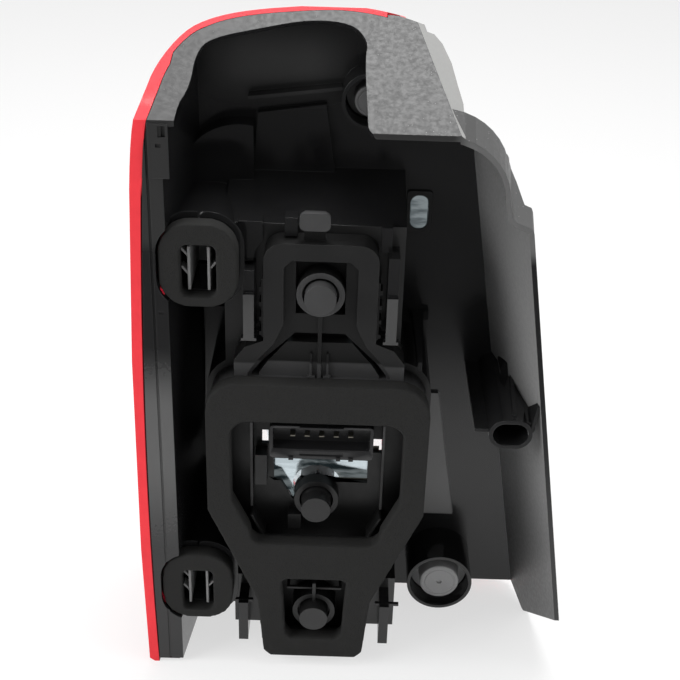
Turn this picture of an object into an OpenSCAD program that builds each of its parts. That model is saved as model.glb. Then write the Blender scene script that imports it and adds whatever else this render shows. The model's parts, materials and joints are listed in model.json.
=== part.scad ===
// Rear lamp cluster for the right-hand corner of a car, standing on its lower edge.
// X points inboard (to the right seen from behind), Y points forward into the lens, Z points up.
// The origin lies on the rear face of the body seal, on the bulb line, in the middle of its crossbar.
// Inside the modules, y is measured from that face and z from the standing edge.

/* [Overall size] */
// Height of the lens
lamp_h = 377; // [372:1:384]
// Bulb line to the outboard face of the lens
outboard_w = 98.5; // [97:0.5:102]
// Seal face to the front of the lens
lens_front = 122; // [118:1:130]
// Seal face to the tray floor
tray_depth = 75; // [72:1:80]

/* [Housing] */
// Wall thickness of the moulded housing
wall_t = 2.5; // [2:0.1:3]
// Bulb line to the inner edge of the outboard flange
flange_in = 77; // [75.5:0.5:79]
// How far the outboard tray wall leans in over its depth
left_lean = 10; // [6:1:12]
// Width of the groove between the two strips of the flange
groove_w = 1.4; // [1:0.1:2]
// Height of the roof plane above the standing edge, at the seal face
roof_low_z = 338; // [336:1:342]
// Slope of the roof plane, in degrees
roof_angle = 31; // [29:0.5:32]
// How far the roof's rear edge stands behind the seal face
roof_lip = 4; // [3:0.5:5]

/* [Inboard wing] */
// Distance from the bulb line to the wing's rear edge, where the edge starts
wing_x = 99.3; // [98:0.1:100.5]
// Height at which the wing's straight rear edge starts
wing_top_z = 300; // [296:1:304]
// Outward slope of the wing's rear edge, in millimetres for each millimetre of drop
wing_slope = 0.16; // [0.15:0.005:0.17]
// Outward flare of the wing from the tray floor, in degrees
wing_flare = 15; // [13:0.5:17]
// Height of the wing's curved shoulder
shoulder_z = 333; // [331:1:335]
// Radius of the wing's curved shoulder
shoulder_r = 35; // [32:1:38]
// Height at which the wing's cut-away lower edge ends at the seal face
wing_cut_z = 41; // [36:1:46]

/* [Tower for the bulb holder] */
// Seal face to the tower's rear face, on which the bulb holder sits
tower_y = 26; // [25:0.5:28]
// Half width of the tower's upper part
tower_hw = 51; // [49:0.5:52]
// Width of the tower's upper part inboard of the bulb line
tower_in_hw = 43; // [41:0.5:43.5]
// Height of the tower's deck at the tray floor
deck_z = 288; // [287:0.5:290]
// Fall of the deck towards the rear, in degrees
deck_angle = 14; // [12:0.5:15]
// Width, across, of a latch arm
latch_w = 5.6; // [5:0.1:6.2]
// Seal face to the end of a latch arm
latch_y = 8; // [6:0.5:9]

/* [Bulbs] */
// Height of the stop and tail bulb
stop_z = 244; // [243:0.5:245]
// Height of the indicator bulb
indicator_z = 111; // [110:0.5:112]
// Height of the fog bulb
fog_z = 35; // [34.5:0.5:36]
// Radius of a bulb's metal cap
bulb_cap_r = 7.5; // [7:0.1:7.6]
// Length of a bulb's metal cap
bulb_cap_l = 19; // [17:0.5:20]
// Radius of a bulb's glass
glass_r = 12.5; // [11:0.5:13]
// Length of a bulb's glass
glass_l = 32; // [29:1:33]
// Radial clearance of a bulb cap in its socket
cap_gap = 0.25; // [0.2:0.05:0.4]

/* [Bulb holder] */
// Thickness of the holder's plate
plate_t = 3; // [2.5:0.1:3.5]
// Half width of the holder's neck
neck_hw = 29.5; // [28.5:0.5:30]
// Top of the holder's neck
neck_z = 272; // [270:0.5:273]
// Half width of the holder's shoulders
shoulder_hw = 45; // [44:0.5:46]
// Top of the holder's shoulders
shoulders_z = 216; // [214:0.5:217]
// Thickness of the holder's upright walls
holder_wall = 2.4; // [2:0.1:3]
// Radius of the ring round a bulb socket
ring_r = 12.5; // [12:0.1:13]
// Radius of the closed cap behind a bulb socket
button_r = 8.2; // [7.8:0.1:8.8]

/* [Body seal] */
// Thickness of the foam seal
seal_t = 9.5; // [8:0.5:10.5]
// Half width of the seal's upper part
seal_hw = 60; // [59:0.5:61]
// Top of the seal
seal_z = 195; // [193:0.5:197]
// Bottom of the seal
seal_low_z = 7; // [6:0.5:8]
// Half width of the seal's lower end
seal_low_hw = 29.5; // [28.5:0.5:30.5]
// Half width of the seal's upper window
window_hw = 46.5; // [45:0.5:47.5]
// Half width of the seal's lower window
small_hw = 18.5; // [17.5:0.5:19.5]
// Centre height of the crossbar between the windows
crossbar_z = 77.5; // [77:0.5:78]
// Height of the crossbar
crossbar_h = 25; // [22:1:26]

/* [Clips] */
// Bulb line to the upper clip
clip_up_x = 61.5; // [60:0.5:63]
// Height of the upper clip
clip_up_z = 262; // [260:0.5:264]
// Bulb line to the lower clip
clip_low_x = 67; // [66:0.5:67.5]
// Height of the lower clip
clip_low_z = 57; // [55:0.5:59]
// Width of a clip's foam pad
pad_w = 40; // [38:0.5:41]
// Height of a clip's foam pad
pad_h = 46; // [44:0.5:50]
// Thickness of a clip's foam pad
pad_t = 9; // [8:0.5:10]
// Width of a clip's socket
socket_w = 22; // [20:0.5:23]
// Height of a clip's socket
socket_h = 28; // [26:0.5:30]
// Depth of a clip's socket
socket_d = 34; // [30:1:38]

/* [Vents and fixings] */
// Outer radius of the lower vent spigot
vent_low_r = 20; // [19:0.5:20.5]
// Outer radius of the upper vent spigot
vent_up_r = 15; // [14:0.5:15.5]
// Wall of a vent spigot
vent_wall = 2; // [1.6:0.1:2.4]
// Radius of the fixing screw's hole
screw_r = 3.25; // [2.75:0.25:3.5]
// Outer width of the fixing screw's oval tube
tube_w = 23.5; // [22:0.5:24.5]
// Outer height of the fixing screw's oval tube
tube_h = 17.8; // [17:0.2:18.6]
// Wall of the fixing screw's oval tube
tube_wall = 2.2; // [1.8:0.1:2.6]
// Bulb line to the fixing screw
screw_x = 103.3; // [102.5:0.2:104.5]
// Height of the fixing screw
screw_z = 168.5; // [166:0.5:171]

/* [Lens and reflector] */
// Thickness of the lens
lens_t = 3; // [2.6:0.1:3.4]
// Width of the lens's rear rim
rim_w = 6; // [5:0.1:6.5]
// Bow of the lens's outboard side
side_bow = 5.2; // [3:0.2:7]
// Width of the lens's rear rim along the roof
rim_top = 4.4; // [4:0.1:5]
// How far the lens leans inboard towards its front, in degrees
lens_lean = 5.7; // [4:0.1:7]
// How far the lens falls towards its front, in degrees
lens_fall = 14.6; // [13:0.1:15.5]
// Lower edge of the clear window
clear_low_z = 76; // [72:1:80]
// Upper edge of the clear window
clear_high_z = 150; // [146:1:156]
// Thickness of the reflector
reflector_t = 2; // [1.6:0.1:2.4]
// Seal face to the reflector's front plane
reflector_y = 88; // [86:0.5:90]
// Radius of the stop bowl at its mouth
stop_bowl_r = 38; // [34:0.5:38]
// Radius of the indicator bowl at its mouth
small_bowl_r = 31; // [28:0.5:31]
// Radius of the fog bowl at its mouth
fog_bowl_r = 27; // [24:0.5:27]
// Clearance between parts that are welded or pressed together
fit_gap = 0.3; // [0.2:0.05:0.4]

/* [Hidden] */
$fn = 48;

far = 400;
crossbar_low = crossbar_z - crossbar_h / 2;
crossbar_high = crossbar_z + crossbar_h / 2;
floor_front = tray_depth + wall_t;
roof_rise = tan(roof_angle);
left_x = -outboard_w;
rim_lean = 3.8;
roof_corner_x = 19;

// Points on an arc, from one angle to another
function arc(cx, cz, r, a0, a1, n = 6) =
    [for (k = [0:n]) [cx + r * cos(a0 + (a1 - a0) * k / n), cz + r * sin(a0 + (a1 - a0) * k / n)]];

// A right-hand outline, closed by its mirror image
function both_sides(pts) = concat(pts, [for (k = [len(pts) - 1:-1:0]) [-pts[k][0], pts[k][1]]]);

// The wing's inner face at a height, at the seal face and at the tray floor
function wing_rim(z) = wing_x + (wing_top_z - z) * wing_slope;
function wing_root(z) = wing_rim(z) - tray_depth * tan(wing_flare);

// Moves the lamp so that the origin lies on the seal's crossbar
module placed() {
    translate([0, 0, -crossbar_z]) children();
}

// A shape in the X and Z plane, drawn out from one distance behind the lens to another
module slab(y0, y1) {
    translate([0, y1, 0]) rotate([90, 0, 0]) linear_extrude(height = y1 - y0) children();
}

// A round bar along Y
module bar(x, z, r, y0, y1) {
    slab(y0, y1) translate([x, z]) circle(r = r);
}

// A rectangle with round corners, centred
module round_rect(w, h, r) {
    square([w - 2 * r, h], center = true);
    square([w, h - 2 * r], center = true);
    for (sx = [-1, 1], sz = [-1, 1]) {
        translate([sx * (w / 2 - r), sz * (h / 2 - r)]) circle(r = r);
    }
}

// Rounds the corners of a closed outline by cutting them twice
function cut_corners(pts) = let (m = len(pts)) [for (k = [0:m - 1]) for (t = [0.25, 0.75])
    pts[k] * (1 - t) + pts[(k + 1) % m] * t];
function soften(pts) = cut_corners(cut_corners(pts));

// Moves a clockwise outline inwards, by i across and by j upwards
function inset(pts, i, j) = let (m = len(pts)) [for (k = [0:m - 1])
    let (d = pts[(k + 1) % m] - pts[(k + m - 1) % m], n = [-d[1], d[0]] / norm(d)) pts[k] - [i * n[0], j * n[1]]];

// The lens, as outlines that are drawn out and intersected

floor_edge_z = 8.3;
rim_end_x = 29;
front_corner_r = 45;
bow_z = 108;
bow_span = 200;
side_steps = 7;
arch_z = 323;
crown_x = 35;

function side_x(z) = left_x + side_bow * pow((z - bow_z) / bow_span, 2);

// Rise of the lens's arched top, as distances from its outboard edge and from the lamp's height
arch = [[10.5, -29], [12.8, -13.5], [22.5, 3], [34.5, 10], [53, 14.5], [81.5, 17.5], [101.5, 18.3],
    [122.5, 15.5], [137.5, 11], [150, 7]];

// Outline at the seal face, seen from behind: the outboard side, the arched top, and open inboard
lens_outline = concat(
    [for (k = [0:side_steps]) let (z = -60 + (arch_z + 60) * k / side_steps) [side_x(z), z]],
    [for (p = arch) [left_x + p[0], lamp_h + p[1]]],
    [[far, lamp_h + 7], [far, -60]]);

// The outline leans inboard and falls with the distance from the seal face
function drafted(pts) = [for (p = pts) let (u = p[0] * cos(lens_lean))
    [u, cos(lens_fall) * (p[1] + u * tan(lens_lean) * tan(lens_fall))]];

module lens_prism(i, j) {
    rotate([0, 0, -lens_lean]) rotate([-lens_fall, 0, 0]) slab(-130, 260)
        polygon(drafted(soften(inset(lens_outline, i, j))));
}

// Outline of the foot and of the inboard side, seen from behind, moved inwards by i
module lens_foot(i) {
    slab(-20, far) polygon([[left_x + 4.5 + i, i], [left_x - 10, 11 + i], [left_x - 10, far], [crown_x - i, far],
        [crown_x - i, lamp_h - 2], [crown_x + 7 - i, lamp_h - 12], [wing_root(shoulder_z) - 22 - i, shoulder_z],
        [wing_root(wing_top_z) + 0.5 - i, wing_top_z], [wing_root(floor_edge_z) + 0.5 - i, floor_edge_z + i],
        [60, floor_edge_z + i], [20, i]]);
}

// Outline seen from above, moved inwards by i
function lens_plan(i) = concat(
    [[left_x - 20, -20], [left_x + i, -20]],
    arc(left_x + front_corner_r, lens_front - front_corner_r, front_corner_r - i, 180, 90, 8),
    [[10, lens_front - 0.5 - i], [45, lens_front - 4 - i], [75, lens_front - 12 - i]],
    [[100, lens_front - 24 - i], [126, lens_front - 40 - i], [160, -20]]);

// Outline seen from the side, moved inwards by i
function lens_side(i) = [[-20, i], [lens_front - 12 - i, i], [lens_front - 4 - i, 30], [lens_front - i, 110],
    [lens_front - i, 190], [lens_front - 4 - i, 260], [lens_front - 13 - i, 320],
    [lens_front - 26 - i, 352], [lens_front - 42 - i, lamp_h - 8 - i], [lens_front - 57 - i, lamp_h - i],
    [lens_front - 57 - i, lamp_h + 60], [-20, lamp_h + 60]];

module lens_solid(i) {
    intersection() {
        lens_prism(i, i);
        lens_foot(i);
        linear_extrude(height = far) polygon(lens_plan(i));
        rotate([90, 0, 90]) translate([0, 0, -far / 2]) linear_extrude(height = far) polygon(lens_side(i));
    }
}

// Everything above the roof plane, or above a plane that lies d below it
module above_roof(d = 0) {
    translate([0, 0, roof_low_z]) rotate([roof_angle, 0, 0]) translate([-far / 2, -far / 2, -d])
        cube([far, far, far]);
}

// The tray, as the space inside its walls grown by g

flank = [[66.5, -60], [66.5, 21], [64, 32.5], [61.4, 45.7], [57, 55.5], [50, 60], [42, 61], [28, 61.5], [24, floor_front]];
crease = [61, 9];
crease_turn = 16;
crease_tilt = 35;

function tray_plan(g) = inset(concat(
    [[-flange_in - wall_t, -60], [-flange_in - wall_t, 0], [-flange_in + left_lean - wall_t, floor_front]],
    [for (k = [len(flank) - 1:-1:0]) flank[k]]), wall_t - g, wall_t - g);

// Everything above the slanted flank beside the roof, or above a plane that lies d below it
module above_flank(d) {
    translate([0, 0, roof_low_z]) rotate([roof_angle, 0, 0]) translate([crease[0], crease[1], 0])
        rotate([0, 0, crease_turn]) rotate([0, crease_tilt, 0]) translate([-far / 2, -far / 2, -d]) cube(far);
}

// Cross section of the wing and its shoulder, square to the wing's own direction
ledge_z = 286;

function wing_section(g) = let (c = cos(wing_flare), zc = shoulder_z - shoulder_r, r = shoulder_r - 3.5)
    concat([[0, -5], [wing_rim(-5) * c + g, -5], [wing_rim(zc) * c + g, zc]],
    arc(wing_rim(zc) * c - r, zc, r + g, 0, 90, 8),
    [[0, shoulder_z - 3.5 + g]]);

// Everything in front of the open rear side, whose inboard rim leans back above the wing's ledge
module behind_face() {
    translate([-far / 2, 0, -far / 2]) cube([far, far, 3 * far]);
    translate([roof_corner_x, 0, ledge_z - 1]) rotate([rim_lean, 0, 0]) cube(far);
}

// The rolled band in which the roof ends above the wing, and the ledge under it, seen along the roof's slope
band_y = 11;
shoulder_x = 55.8;
band_in_x = 22;
band_wall = wall_t + 0.1;
band_low = ledge_z - 3;
ledge_out = wing_rim(ledge_z) + wall_t;

function band_n(z, y) = (z - roof_low_z - y * roof_rise) * cos(roof_angle);
function band_top() = [for (p = arc(shoulder_x, roof_low_z - roof_lip * roof_rise - shoulder_r, shoulder_r, 90, 0, 10))
    [p[0], band_n(p[1], -roof_lip)]];
function ledge_line() = [for (p = [[ledge_out - 11, ledge_z + 8], [ledge_out - 8.8, ledge_z + 5.8],
    [ledge_out - 1, ledge_z + 2.4], [ledge_out, ledge_z]]) [p[0], band_n(p[1], 0)]];

// Everything inboard of the band and its ledge, moved inwards by i
function inside_band(i) = inset(concat([[-far, -far], [-far, band_top()[0][1]]], band_top(), ledge_line(),
    [[far, band_n(ledge_z, 0)], [far, -far]]), i, i);

module shoulder_band() {
    intersection() {
        along_roof(-90, 90) polygon(concat([[band_in_x, band_n(band_low, 0)], [band_in_x, band_top()[0][1]]],
            band_top(), ledge_line(), [[ledge_out, band_n(band_low, 0)]]));
        translate([0, band_y - far, 0]) cube(far);
    }
}

module shoulder_band_hollow() {
    intersection() {
        along_roof(-90, 90) intersection() {
            polygon(inside_band(band_wall));
            translate([band_in_x, -far]) square([shoulder_x + shoulder_r - wall_t - 2 - band_in_x, 2 * far]);
        }
        translate([0, band_y - wall_t - far, 0]) cube(far);
    }
}

module along_roof(s0, s1) {
    translate([0, 0, roof_low_z]) rotate([roof_angle, 0, 0]) slab(s0 - roof_lip, s1 - roof_lip) children();
}

module tray_space(g) {
    intersection() {
        union() {
            difference() {
                linear_extrude(height = far) polygon(tray_plan(g));
                above_roof(wall_t - g);
                above_flank(wall_t - g);
            }
            intersection() {
                rotate([0, 0, wing_flare]) slab(-60, 140) polygon(wing_section(g));
                translate([-far / 2, -20, -5]) cube([far, 20 + tray_depth + g, far]);
                along_roof(-far, far) polygon(inside_band(wall_t - g));
            }
        }
        lens_prism(lens_t + fit_gap + wall_t - g, lens_t + fit_gap + wall_t - g);
    }
}

// A hole through the roof plane, over the upper bulb
roof_hole = [[-71, -30], [-71, 6], [-65, 18], [-64, 36], [-58, 45], [-32, 52], [-9, 57.5], [12, 56], [20, 46],
    [18.5, 36], [20.5, 3], [21, -2], [26, -5.5], [40, -7], [40, -30]];

module roof_plane(d0, d1) {
    translate([0, 0, roof_low_z]) rotate([roof_angle, 0, 0]) translate([0, 0, d0])
        linear_extrude(height = d1 - d0) children();
}

module roof_plate() {
    difference() {
        roof_plane(-wall_t, 0) polygon(concat([[left_x, 0], [left_x, 90], [flank[7][0], 90]],
            [for (k = [7:-1:0]) [flank[k][0], flank[k][1] / cos(roof_angle)]]));
        above_flank(0);
        difference() {
            translate([-far / 2, 0, 0]) cube(far);
            lens_prism(fit_gap, fit_gap);
        }
        translate([rim_end_x + fit_gap - far, 0, 0]) difference() {
            cube([far, far, far]);
            translate([far - rim_end_x - fit_gap, 0, 0]) lens_prism(rim_w + fit_gap, (rim_top + fit_gap) * sin(roof_angle));
        }
        translate([-far / 2, -far, 0]) cube(far);
    }
}

module flange() {
    difference() {
        intersection() {
            union() {
                translate([left_x, 0, 0]) cube([outboard_w - flange_in, wall_t, roof_low_z]);
                translate([left_x, -0.8, roof_low_z - 29]) cube([outboard_w - flange_in + 3.4, wall_t, 27.5]);
            }
            lens_prism(rim_w + fit_gap, rim_top + fit_gap);
            lens_foot(fit_gap);
        }
        translate([-flange_in - 8, -1, -1]) cube([groove_w, 1.8, roof_low_z + 2]);
        translate([-flange_in - 1.5, -1, roof_low_z - 8]) cube([3.6, 2.2, 5.6]);
        translate([-flange_in - 2.8, -1, roof_low_z - 13.2]) cube([2.6, 1.6, 2]);
        translate([-flange_in - 5, -1, 235]) cube([6, 1.4, 1.6]);
    }
}

// Half outline of the seal, moved inwards by i
function seal_half(i) = concat([[0, seal_z - i]],
    arc(seal_hw - 18, seal_z - 18, 18 - i, 90, 0),
    [[seal_hw - i, 112], [seal_low_hw + 3 - i * 0.9, 49]],
    arc(seal_low_hw - 7, seal_low_z + 7, max(7 - i, 1), 0, -90, 4), [[0, seal_low_z + i]]);

// Half outline of the seal's upper window, grown by g
function window_half(g) = concat([[0, 171 + g]], arc(window_hw - 9, 162, 9 + g, 90, 0),
    [[window_hw + g, 120]], arc(window_hw - 17, crossbar_high + 7, 7 + g, 10, -90, 4), [[0, crossbar_high - g]]);

// Half outline of the seal's lower window, grown by g
function small_window_half(g) = [[0, crossbar_low + g], [small_hw - 2 + g, crossbar_low + g], [small_hw + g, crossbar_low - 2],
    [small_hw - 2 + g, 25], [small_hw - 5 + g, 21 - g], [0, 21 - g]];

module seal_plan(i) polygon(both_sides(seal_half(i)));

module window_plan(g) {
    polygon(both_sides(window_half(g)));
    polygon(both_sides(small_window_half(g)));
}

// Outline of the holder's plate, moved inwards by i
module holder_plan(i) {
    translate([0, neck_z - i - 60]) round_rect(2 * (neck_hw - i), 120, 10 - i / 2);
    polygon(both_sides([[0, shoulders_z - i], [shoulder_hw - 8 - i, shoulders_z - i],
        [shoulder_hw - i, shoulders_z - 8 - i], [shoulder_hw - i, 150], [0, 150]]));
    seal_plan(i + 1.5);
}

// Outline of the tower, moved inwards by i
module tower_plan(i) {
    translate([-tower_hw + i, 150]) square([tower_hw + tower_in_hw - 2 * i, deck_z - 150]);
    seal_plan(i - 1.5);
    translate([-48 + i, 11 + i]) square([96 - 2 * i, 36 - 2 * i]);
}

// Everything above the tower's falling deck, or above a plane that lies d below it
module above_deck(d) {
    translate([0, tray_depth, deck_z - d]) rotate([deck_angle, 0, 0]) translate([-far / 2, -far / 2, 0])
        cube([far, far, far]);
}

module tower_shell() {
    difference() {
        slab(tower_y, floor_front) tower_plan(0);
        above_deck(0);
    }
}

module tower_hollow() {
    difference() {
        slab(tower_y + wall_t, floor_front + 1) tower_plan(wall_t);
        above_deck(wall_t);
    }
    slab(tower_y - 1, tower_y + wall_t + 1) holder_plan(4);
}

// Latch arms that hold the bulb holder, two above and two below
module latch_arms() {
    for (s = [-1, 1]) {
        translate([s * 37 - latch_w / 2, latch_y, shoulders_z + 1.5]) cube([latch_w, tower_y - latch_y, 26]);
        translate([s * 37 - latch_w / 2, latch_y + 2.5, shoulders_z + 20]) cube([latch_w, tower_y - latch_y - 2.5, s > 0 ? 29 : 20]);
        translate([s * 37 - latch_w / 2 - 1.2, latch_y, shoulders_z + 0.6]) cube([latch_w + 2.4, 4, 1.6]);
        translate([s * 41.5 - latch_w / 2, latch_y, 12]) cube([latch_w, tower_y - latch_y, 28]);
        translate([s * 43 - 7, latch_y + 3, 38.5]) cube([14, 2, 1.6]);
    }
}

// Guides and stops beside the holder's neck
module tower_guides() {
    slab(18, tower_y + 0.5) polygon([[-43, 280], [-30.4, 280], [-30, 269.5], [-33.8, 264.5], [-35.2, 258], [-40, 258], [-42.6, 250], [-43, 250]]);
    slab(17, tower_y + 0.5) translate([-19, neck_z + 1]) square([6.6, 10]);
    slab(18, tower_y + 0.5) translate([neck_hw + 0.6, 265]) square([5.6, 13.5]);
}

module clip_boss(x, z) {
    slab(pad_t + 1, floor_front) translate([x, z]) round_rect(pad_w - 4, pad_h - 4, 14);
}

module clip_pocket(x, z) {
    slab(-1, pad_t + 1) translate([x, z]) round_rect(pad_w + 2, pad_h + 2, 17);
    slab(pad_t, pad_t + 1 + socket_d) translate([x, z - 3]) round_rect(socket_w, socket_h, 4);
}

low_vent = [76.6, 29];
up_vent = [22.5, 331.5];
vent_low_y = 45;
vent_up_y = 56;
vent_step = 16;

module vent_spigot(p, r, y) {
    bar(p[0], p[1], r, y, tray_depth + 1);
}

module vent_hole(p, r, y) {
    bar(p[0], p[1], r - vent_wall, y - 1, y + vent_step);
    bar(p[0], p[1], r - vent_wall - 2, y, floor_front + 1);
}

module oval(w, h) {
    round_rect(w, h, h / 2 - 0.01);
}

screw_boss_l = 8;
rib_turn = 3.5;
foot_y = 55.5;

module screw_tube() {
    slab(0, floor_front) translate([screw_x, screw_z]) oval(tube_w, tube_h);
    translate([screw_x + 0.5, 3, screw_z]) rotate([0, 0, -rib_turn]) cube([2, 50, tube_h / 2 + 2]);
    bar(screw_x + 5, screw_z + tube_h / 2 + 2, 7, 48, floor_front);
    bar(screw_x + 8.8, screw_z + 3, 4.2, 2, floor_front);
    translate([screw_x - tube_w / 2 - 7.5, 2, screw_z]) cube([9, tray_depth - 1, 2]);
    translate([screw_x + tube_w / 2 - 1.4, 1, screw_z + 3]) rotate([0, 10, 0]) cube([1.6, tray_depth - 1, 15]);
}

module tray() {
    intersection() {
        behind_face();
        union() {
            difference() {
                union() {
                    tray_space(wall_t);
                    shoulder_band();
                }
                tray_space(0);
                shoulder_band_hollow();
            }
            roof_plate();
        }
    }
}

module housing() {
    color([0.07, 0.07, 0.075]) placed() difference() {
        union() {
            tray();
            flange();
            tower_shell();
            latch_arms();
            tower_guides();
            clip_boss(-clip_up_x, clip_up_z);
            clip_boss(-clip_low_x, clip_low_z);
            vent_spigot(low_vent, vent_low_r, vent_low_y);
            vent_spigot(up_vent, vent_up_r, vent_up_y);
            screw_tube();
            inner_forms();
        }
        roof_plane(-wall_t - 1, 1) polygon(soften([for (p = roof_hole) [p[0], p[1] / cos(roof_angle)]]));
        tower_hollow();
        clip_pocket(-clip_up_x, clip_up_z);
        clip_pocket(-clip_low_x, clip_low_z);
        vent_hole(low_vent, vent_low_r, vent_low_y);
        vent_hole(up_vent, vent_up_r, vent_up_y);
        slab(-1, tray_depth - screw_boss_l + wall_t) translate([screw_x, screw_z])
            oval(tube_w - 2 * tube_wall, tube_h - 2 * tube_wall);
        bar(screw_x, screw_z, screw_r, 20, floor_front + 1);
        slab(tray_depth - 4, floor_front + 1) translate([51.8, 264]) round_rect(10, 20, 4.5);
        wing_cuts();
        translate([-far / 2, -20, 3 - far]) cube([far / 2 + 70, far, far]);
    }
}

// Ribs, pads and pegs that stand on the tray floor
module inner_forms() {
    slab(tray_depth - 2, tray_depth + 1) polygon([[46, 149], [69.7, 149], [84.2, 61], [46, 61]]);
    slab(tray_depth - 1.5, tray_depth + 1) translate([51.8, 264]) round_rect(14, 25, 2);
    slab(tray_depth - 4, tray_depth + 1) polygon([[-38.8, 286], [5.2, 286], [-0.3, 324.5], [-36.4, 319]]);
    slab(tray_depth - 3, tray_depth + 1) polygon([[-68.5, 136], [-57.8, 136], [-57.4, 186], [-53.2, 189], [-53, 203], [-67, 203]]);
    slab(tray_depth - 13, tray_depth + 1) difference() {
        translate([-45, 283]) circle(r = 32.4);
        translate([-38, 200]) square(150);
        translate([-80, 200]) square([80, 62]);
    }
    translate([0, 0, 199]) linear_extrude(height = 5.4)
        polygon([[49.5, 76], [49.5, 71], [51, 70], [52.3, 12], [54.5, 12], [57.4, 70], [60.5, 71], [60.5, 76]]);
    translate([-41, tray_depth - 8, 327]) rotate([0, -7.5, 0]) cube([up_vent[0] + 42 - vent_up_r, 9, 2]);
}

// The wing's cut-away foot and the notch in its rear edge
module wing_cuts() {
    translate([70, 0, 0]) rotate([90, 0, 90]) linear_extrude(height = far)
        polygon([[-20, -20], [-20, wing_cut_z + 14], [0, wing_cut_z], [foot_y, 0], [foot_y + 3, 0],
            [tray_depth, floor_edge_z], [floor_front + 2, floor_edge_z], [floor_front + 2, -20]]);
}

module lens_shell() {
    difference() {
        lens_solid(0);
        difference() {
            lens_solid(lens_t);
            difference() {
                lens_solid(0);
                lens_prism(rim_w, rim_top * sin(roof_angle));
                difference() {
                    translate([-far / 2, 4, -1]) cube([far, far, far]);
                    above_roof(4);
                }
            }
        }
        translate([-far / 2, -far, -far / 2]) cube([far, far, 2 * far]);
        above_roof(0);
        tray_space(wall_t + fit_gap);
        intersection() {
            roof_plane(-wall_t - fit_gap, 1) translate([-far / 2, -far / 2]) square(far);
            lens_prism(rim_w, rim_top * sin(roof_angle));
        }
        intersection() {
            lens_prism(rim_w, rim_top);
            translate([-far / 2, -far, -far]) cube([far, far + wall_t + fit_gap, far + rim_w + 2]);
        }
        translate([rim_end_x, -20, -1]) cube([far, 20 + floor_front + fit_gap, shoulder_z]);
        translate([rim_end_x, -20, -1]) cube([far, 20 + flank[7][1] + wall_t * sin(roof_angle) + fit_gap, far]);
    }
}

clear_in_x = 37;

module clear_outline() {
    polygon([[-66, clear_low_z], [clear_in_x + 3, clear_low_z], [clear_in_x, clear_high_z], [-63, clear_high_z]]);
}

module outer_lens() {
    color([0.75, 0.03, 0.05, 0.85]) placed() difference() {
        lens_shell();
        slab(floor_front + 12, far) clear_outline();
    }
}

module clear_lens() {
    color([0.92, 0.94, 0.95, 0.5]) placed() intersection() {
        lens_shell();
        slab(floor_front + 12, far) clear_outline();
    }
}

// Reflector bowls: a parabola turned about the bulb's axis
bowl_y = tower_y + wall_t + 6;
bowl_hole_r = glass_r + 1.5;
collar_y = tower_y + wall_t + 1;

function bowl_radius(y, r) = sqrt(pow(bowl_hole_r, 2) + (pow(r, 2) - pow(bowl_hole_r, 2)) * (y - bowl_y) / (reflector_y - bowl_y));

module bowl(r, d) {
    rotate([-90, 0, 0]) rotate_extrude() polygon(concat(
        [for (k = [0:8]) let (y = bowl_y + (reflector_y - bowl_y) * k / 8) [bowl_radius(y, r) + d, y]],
        [[bowl_radius(reflector_y, r) + d, reflector_y + 0.1 - d / 20], [0, reflector_y + 0.1 - d / 20], [0, bowl_y]]));
}

module reflector() {
    color([0.8, 0.82, 0.85]) placed() difference() {
        union() {
            intersection() {
                slab(reflector_y - reflector_t, reflector_y) difference() {
                    translate([-far / 2, 0]) square(far);
                    translate([-small_bowl_r - 8, indicator_z - 18]) square([2 * small_bowl_r + 16, 30]);
                }
                lens_solid(lens_t + 6);
            }
            translate([0, 0, stop_z]) bowl(stop_bowl_r, reflector_t);
            translate([0, 0, indicator_z]) bowl(small_bowl_r, reflector_t);
            translate([0, 0, fog_z]) bowl(fog_bowl_r, reflector_t);
            for (p = [[-58, 100], [-58, 325], [72, 60], [66, 290]]) {
                bar(p[0], p[1], 4, floor_front, reflector_y - 1);
            }
            slab(tray_depth - 1, reflector_y - 1) translate([51.8, 264]) round_rect(9, 19, 4);
            difference() {
                slab(collar_y, bowl_y + 3) translate([slot_x, slot_z - 7]) square([slot_w + 1, 26], center = true);
                slab(collar_y + 1.6, bowl_y + 4) translate([slot_x, slot_z - 7]) square([slot_w - 2.4, 22.6], center = true);
            }
        }
        bar(0, indicator_z, bulb_cap_r + cap_gap + 2.8, 0, bowl_y);
        translate([0, 0, stop_z]) bowl(stop_bowl_r, 0);
        translate([0, 0, indicator_z]) bowl(small_bowl_r, 0);
        translate([0, 0, fog_z]) bowl(fog_bowl_r, 0);
        for (z = [stop_z, indicator_z, fog_z]) bar(0, z, bowl_hole_r, 0, bowl_y + 5);
    }
}

// A bulb socket: ring and closed cap behind the plate, tube in front of it
socket_y = tower_y - plate_t;
socket_tube_l = 18;
ring_y = 9;

module socket(z, cap_y) {
    bar(0, z, ring_r, ring_y, socket_y + 1);
    bar(0, z, button_r, cap_y, tower_y);
    bar(0, z, bulb_cap_r + cap_gap + 2, socket_y, tower_y + socket_tube_l);
}

module socket_hollow(z) {
    bar(0, z, bulb_cap_r + cap_gap, tower_y, tower_y + socket_tube_l + 1);
    difference() {
        bar(0, z, ring_r - 3, ring_y - 1, ring_y + 4);
        bar(0, z, button_r, 0, tower_y);
    }
}

neck_y = seal_t;
plateau_y = 12.5;
slot_z = 128.5;
slot_h = 9.6;
slot_x = 2;
slot_w = 53;

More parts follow.
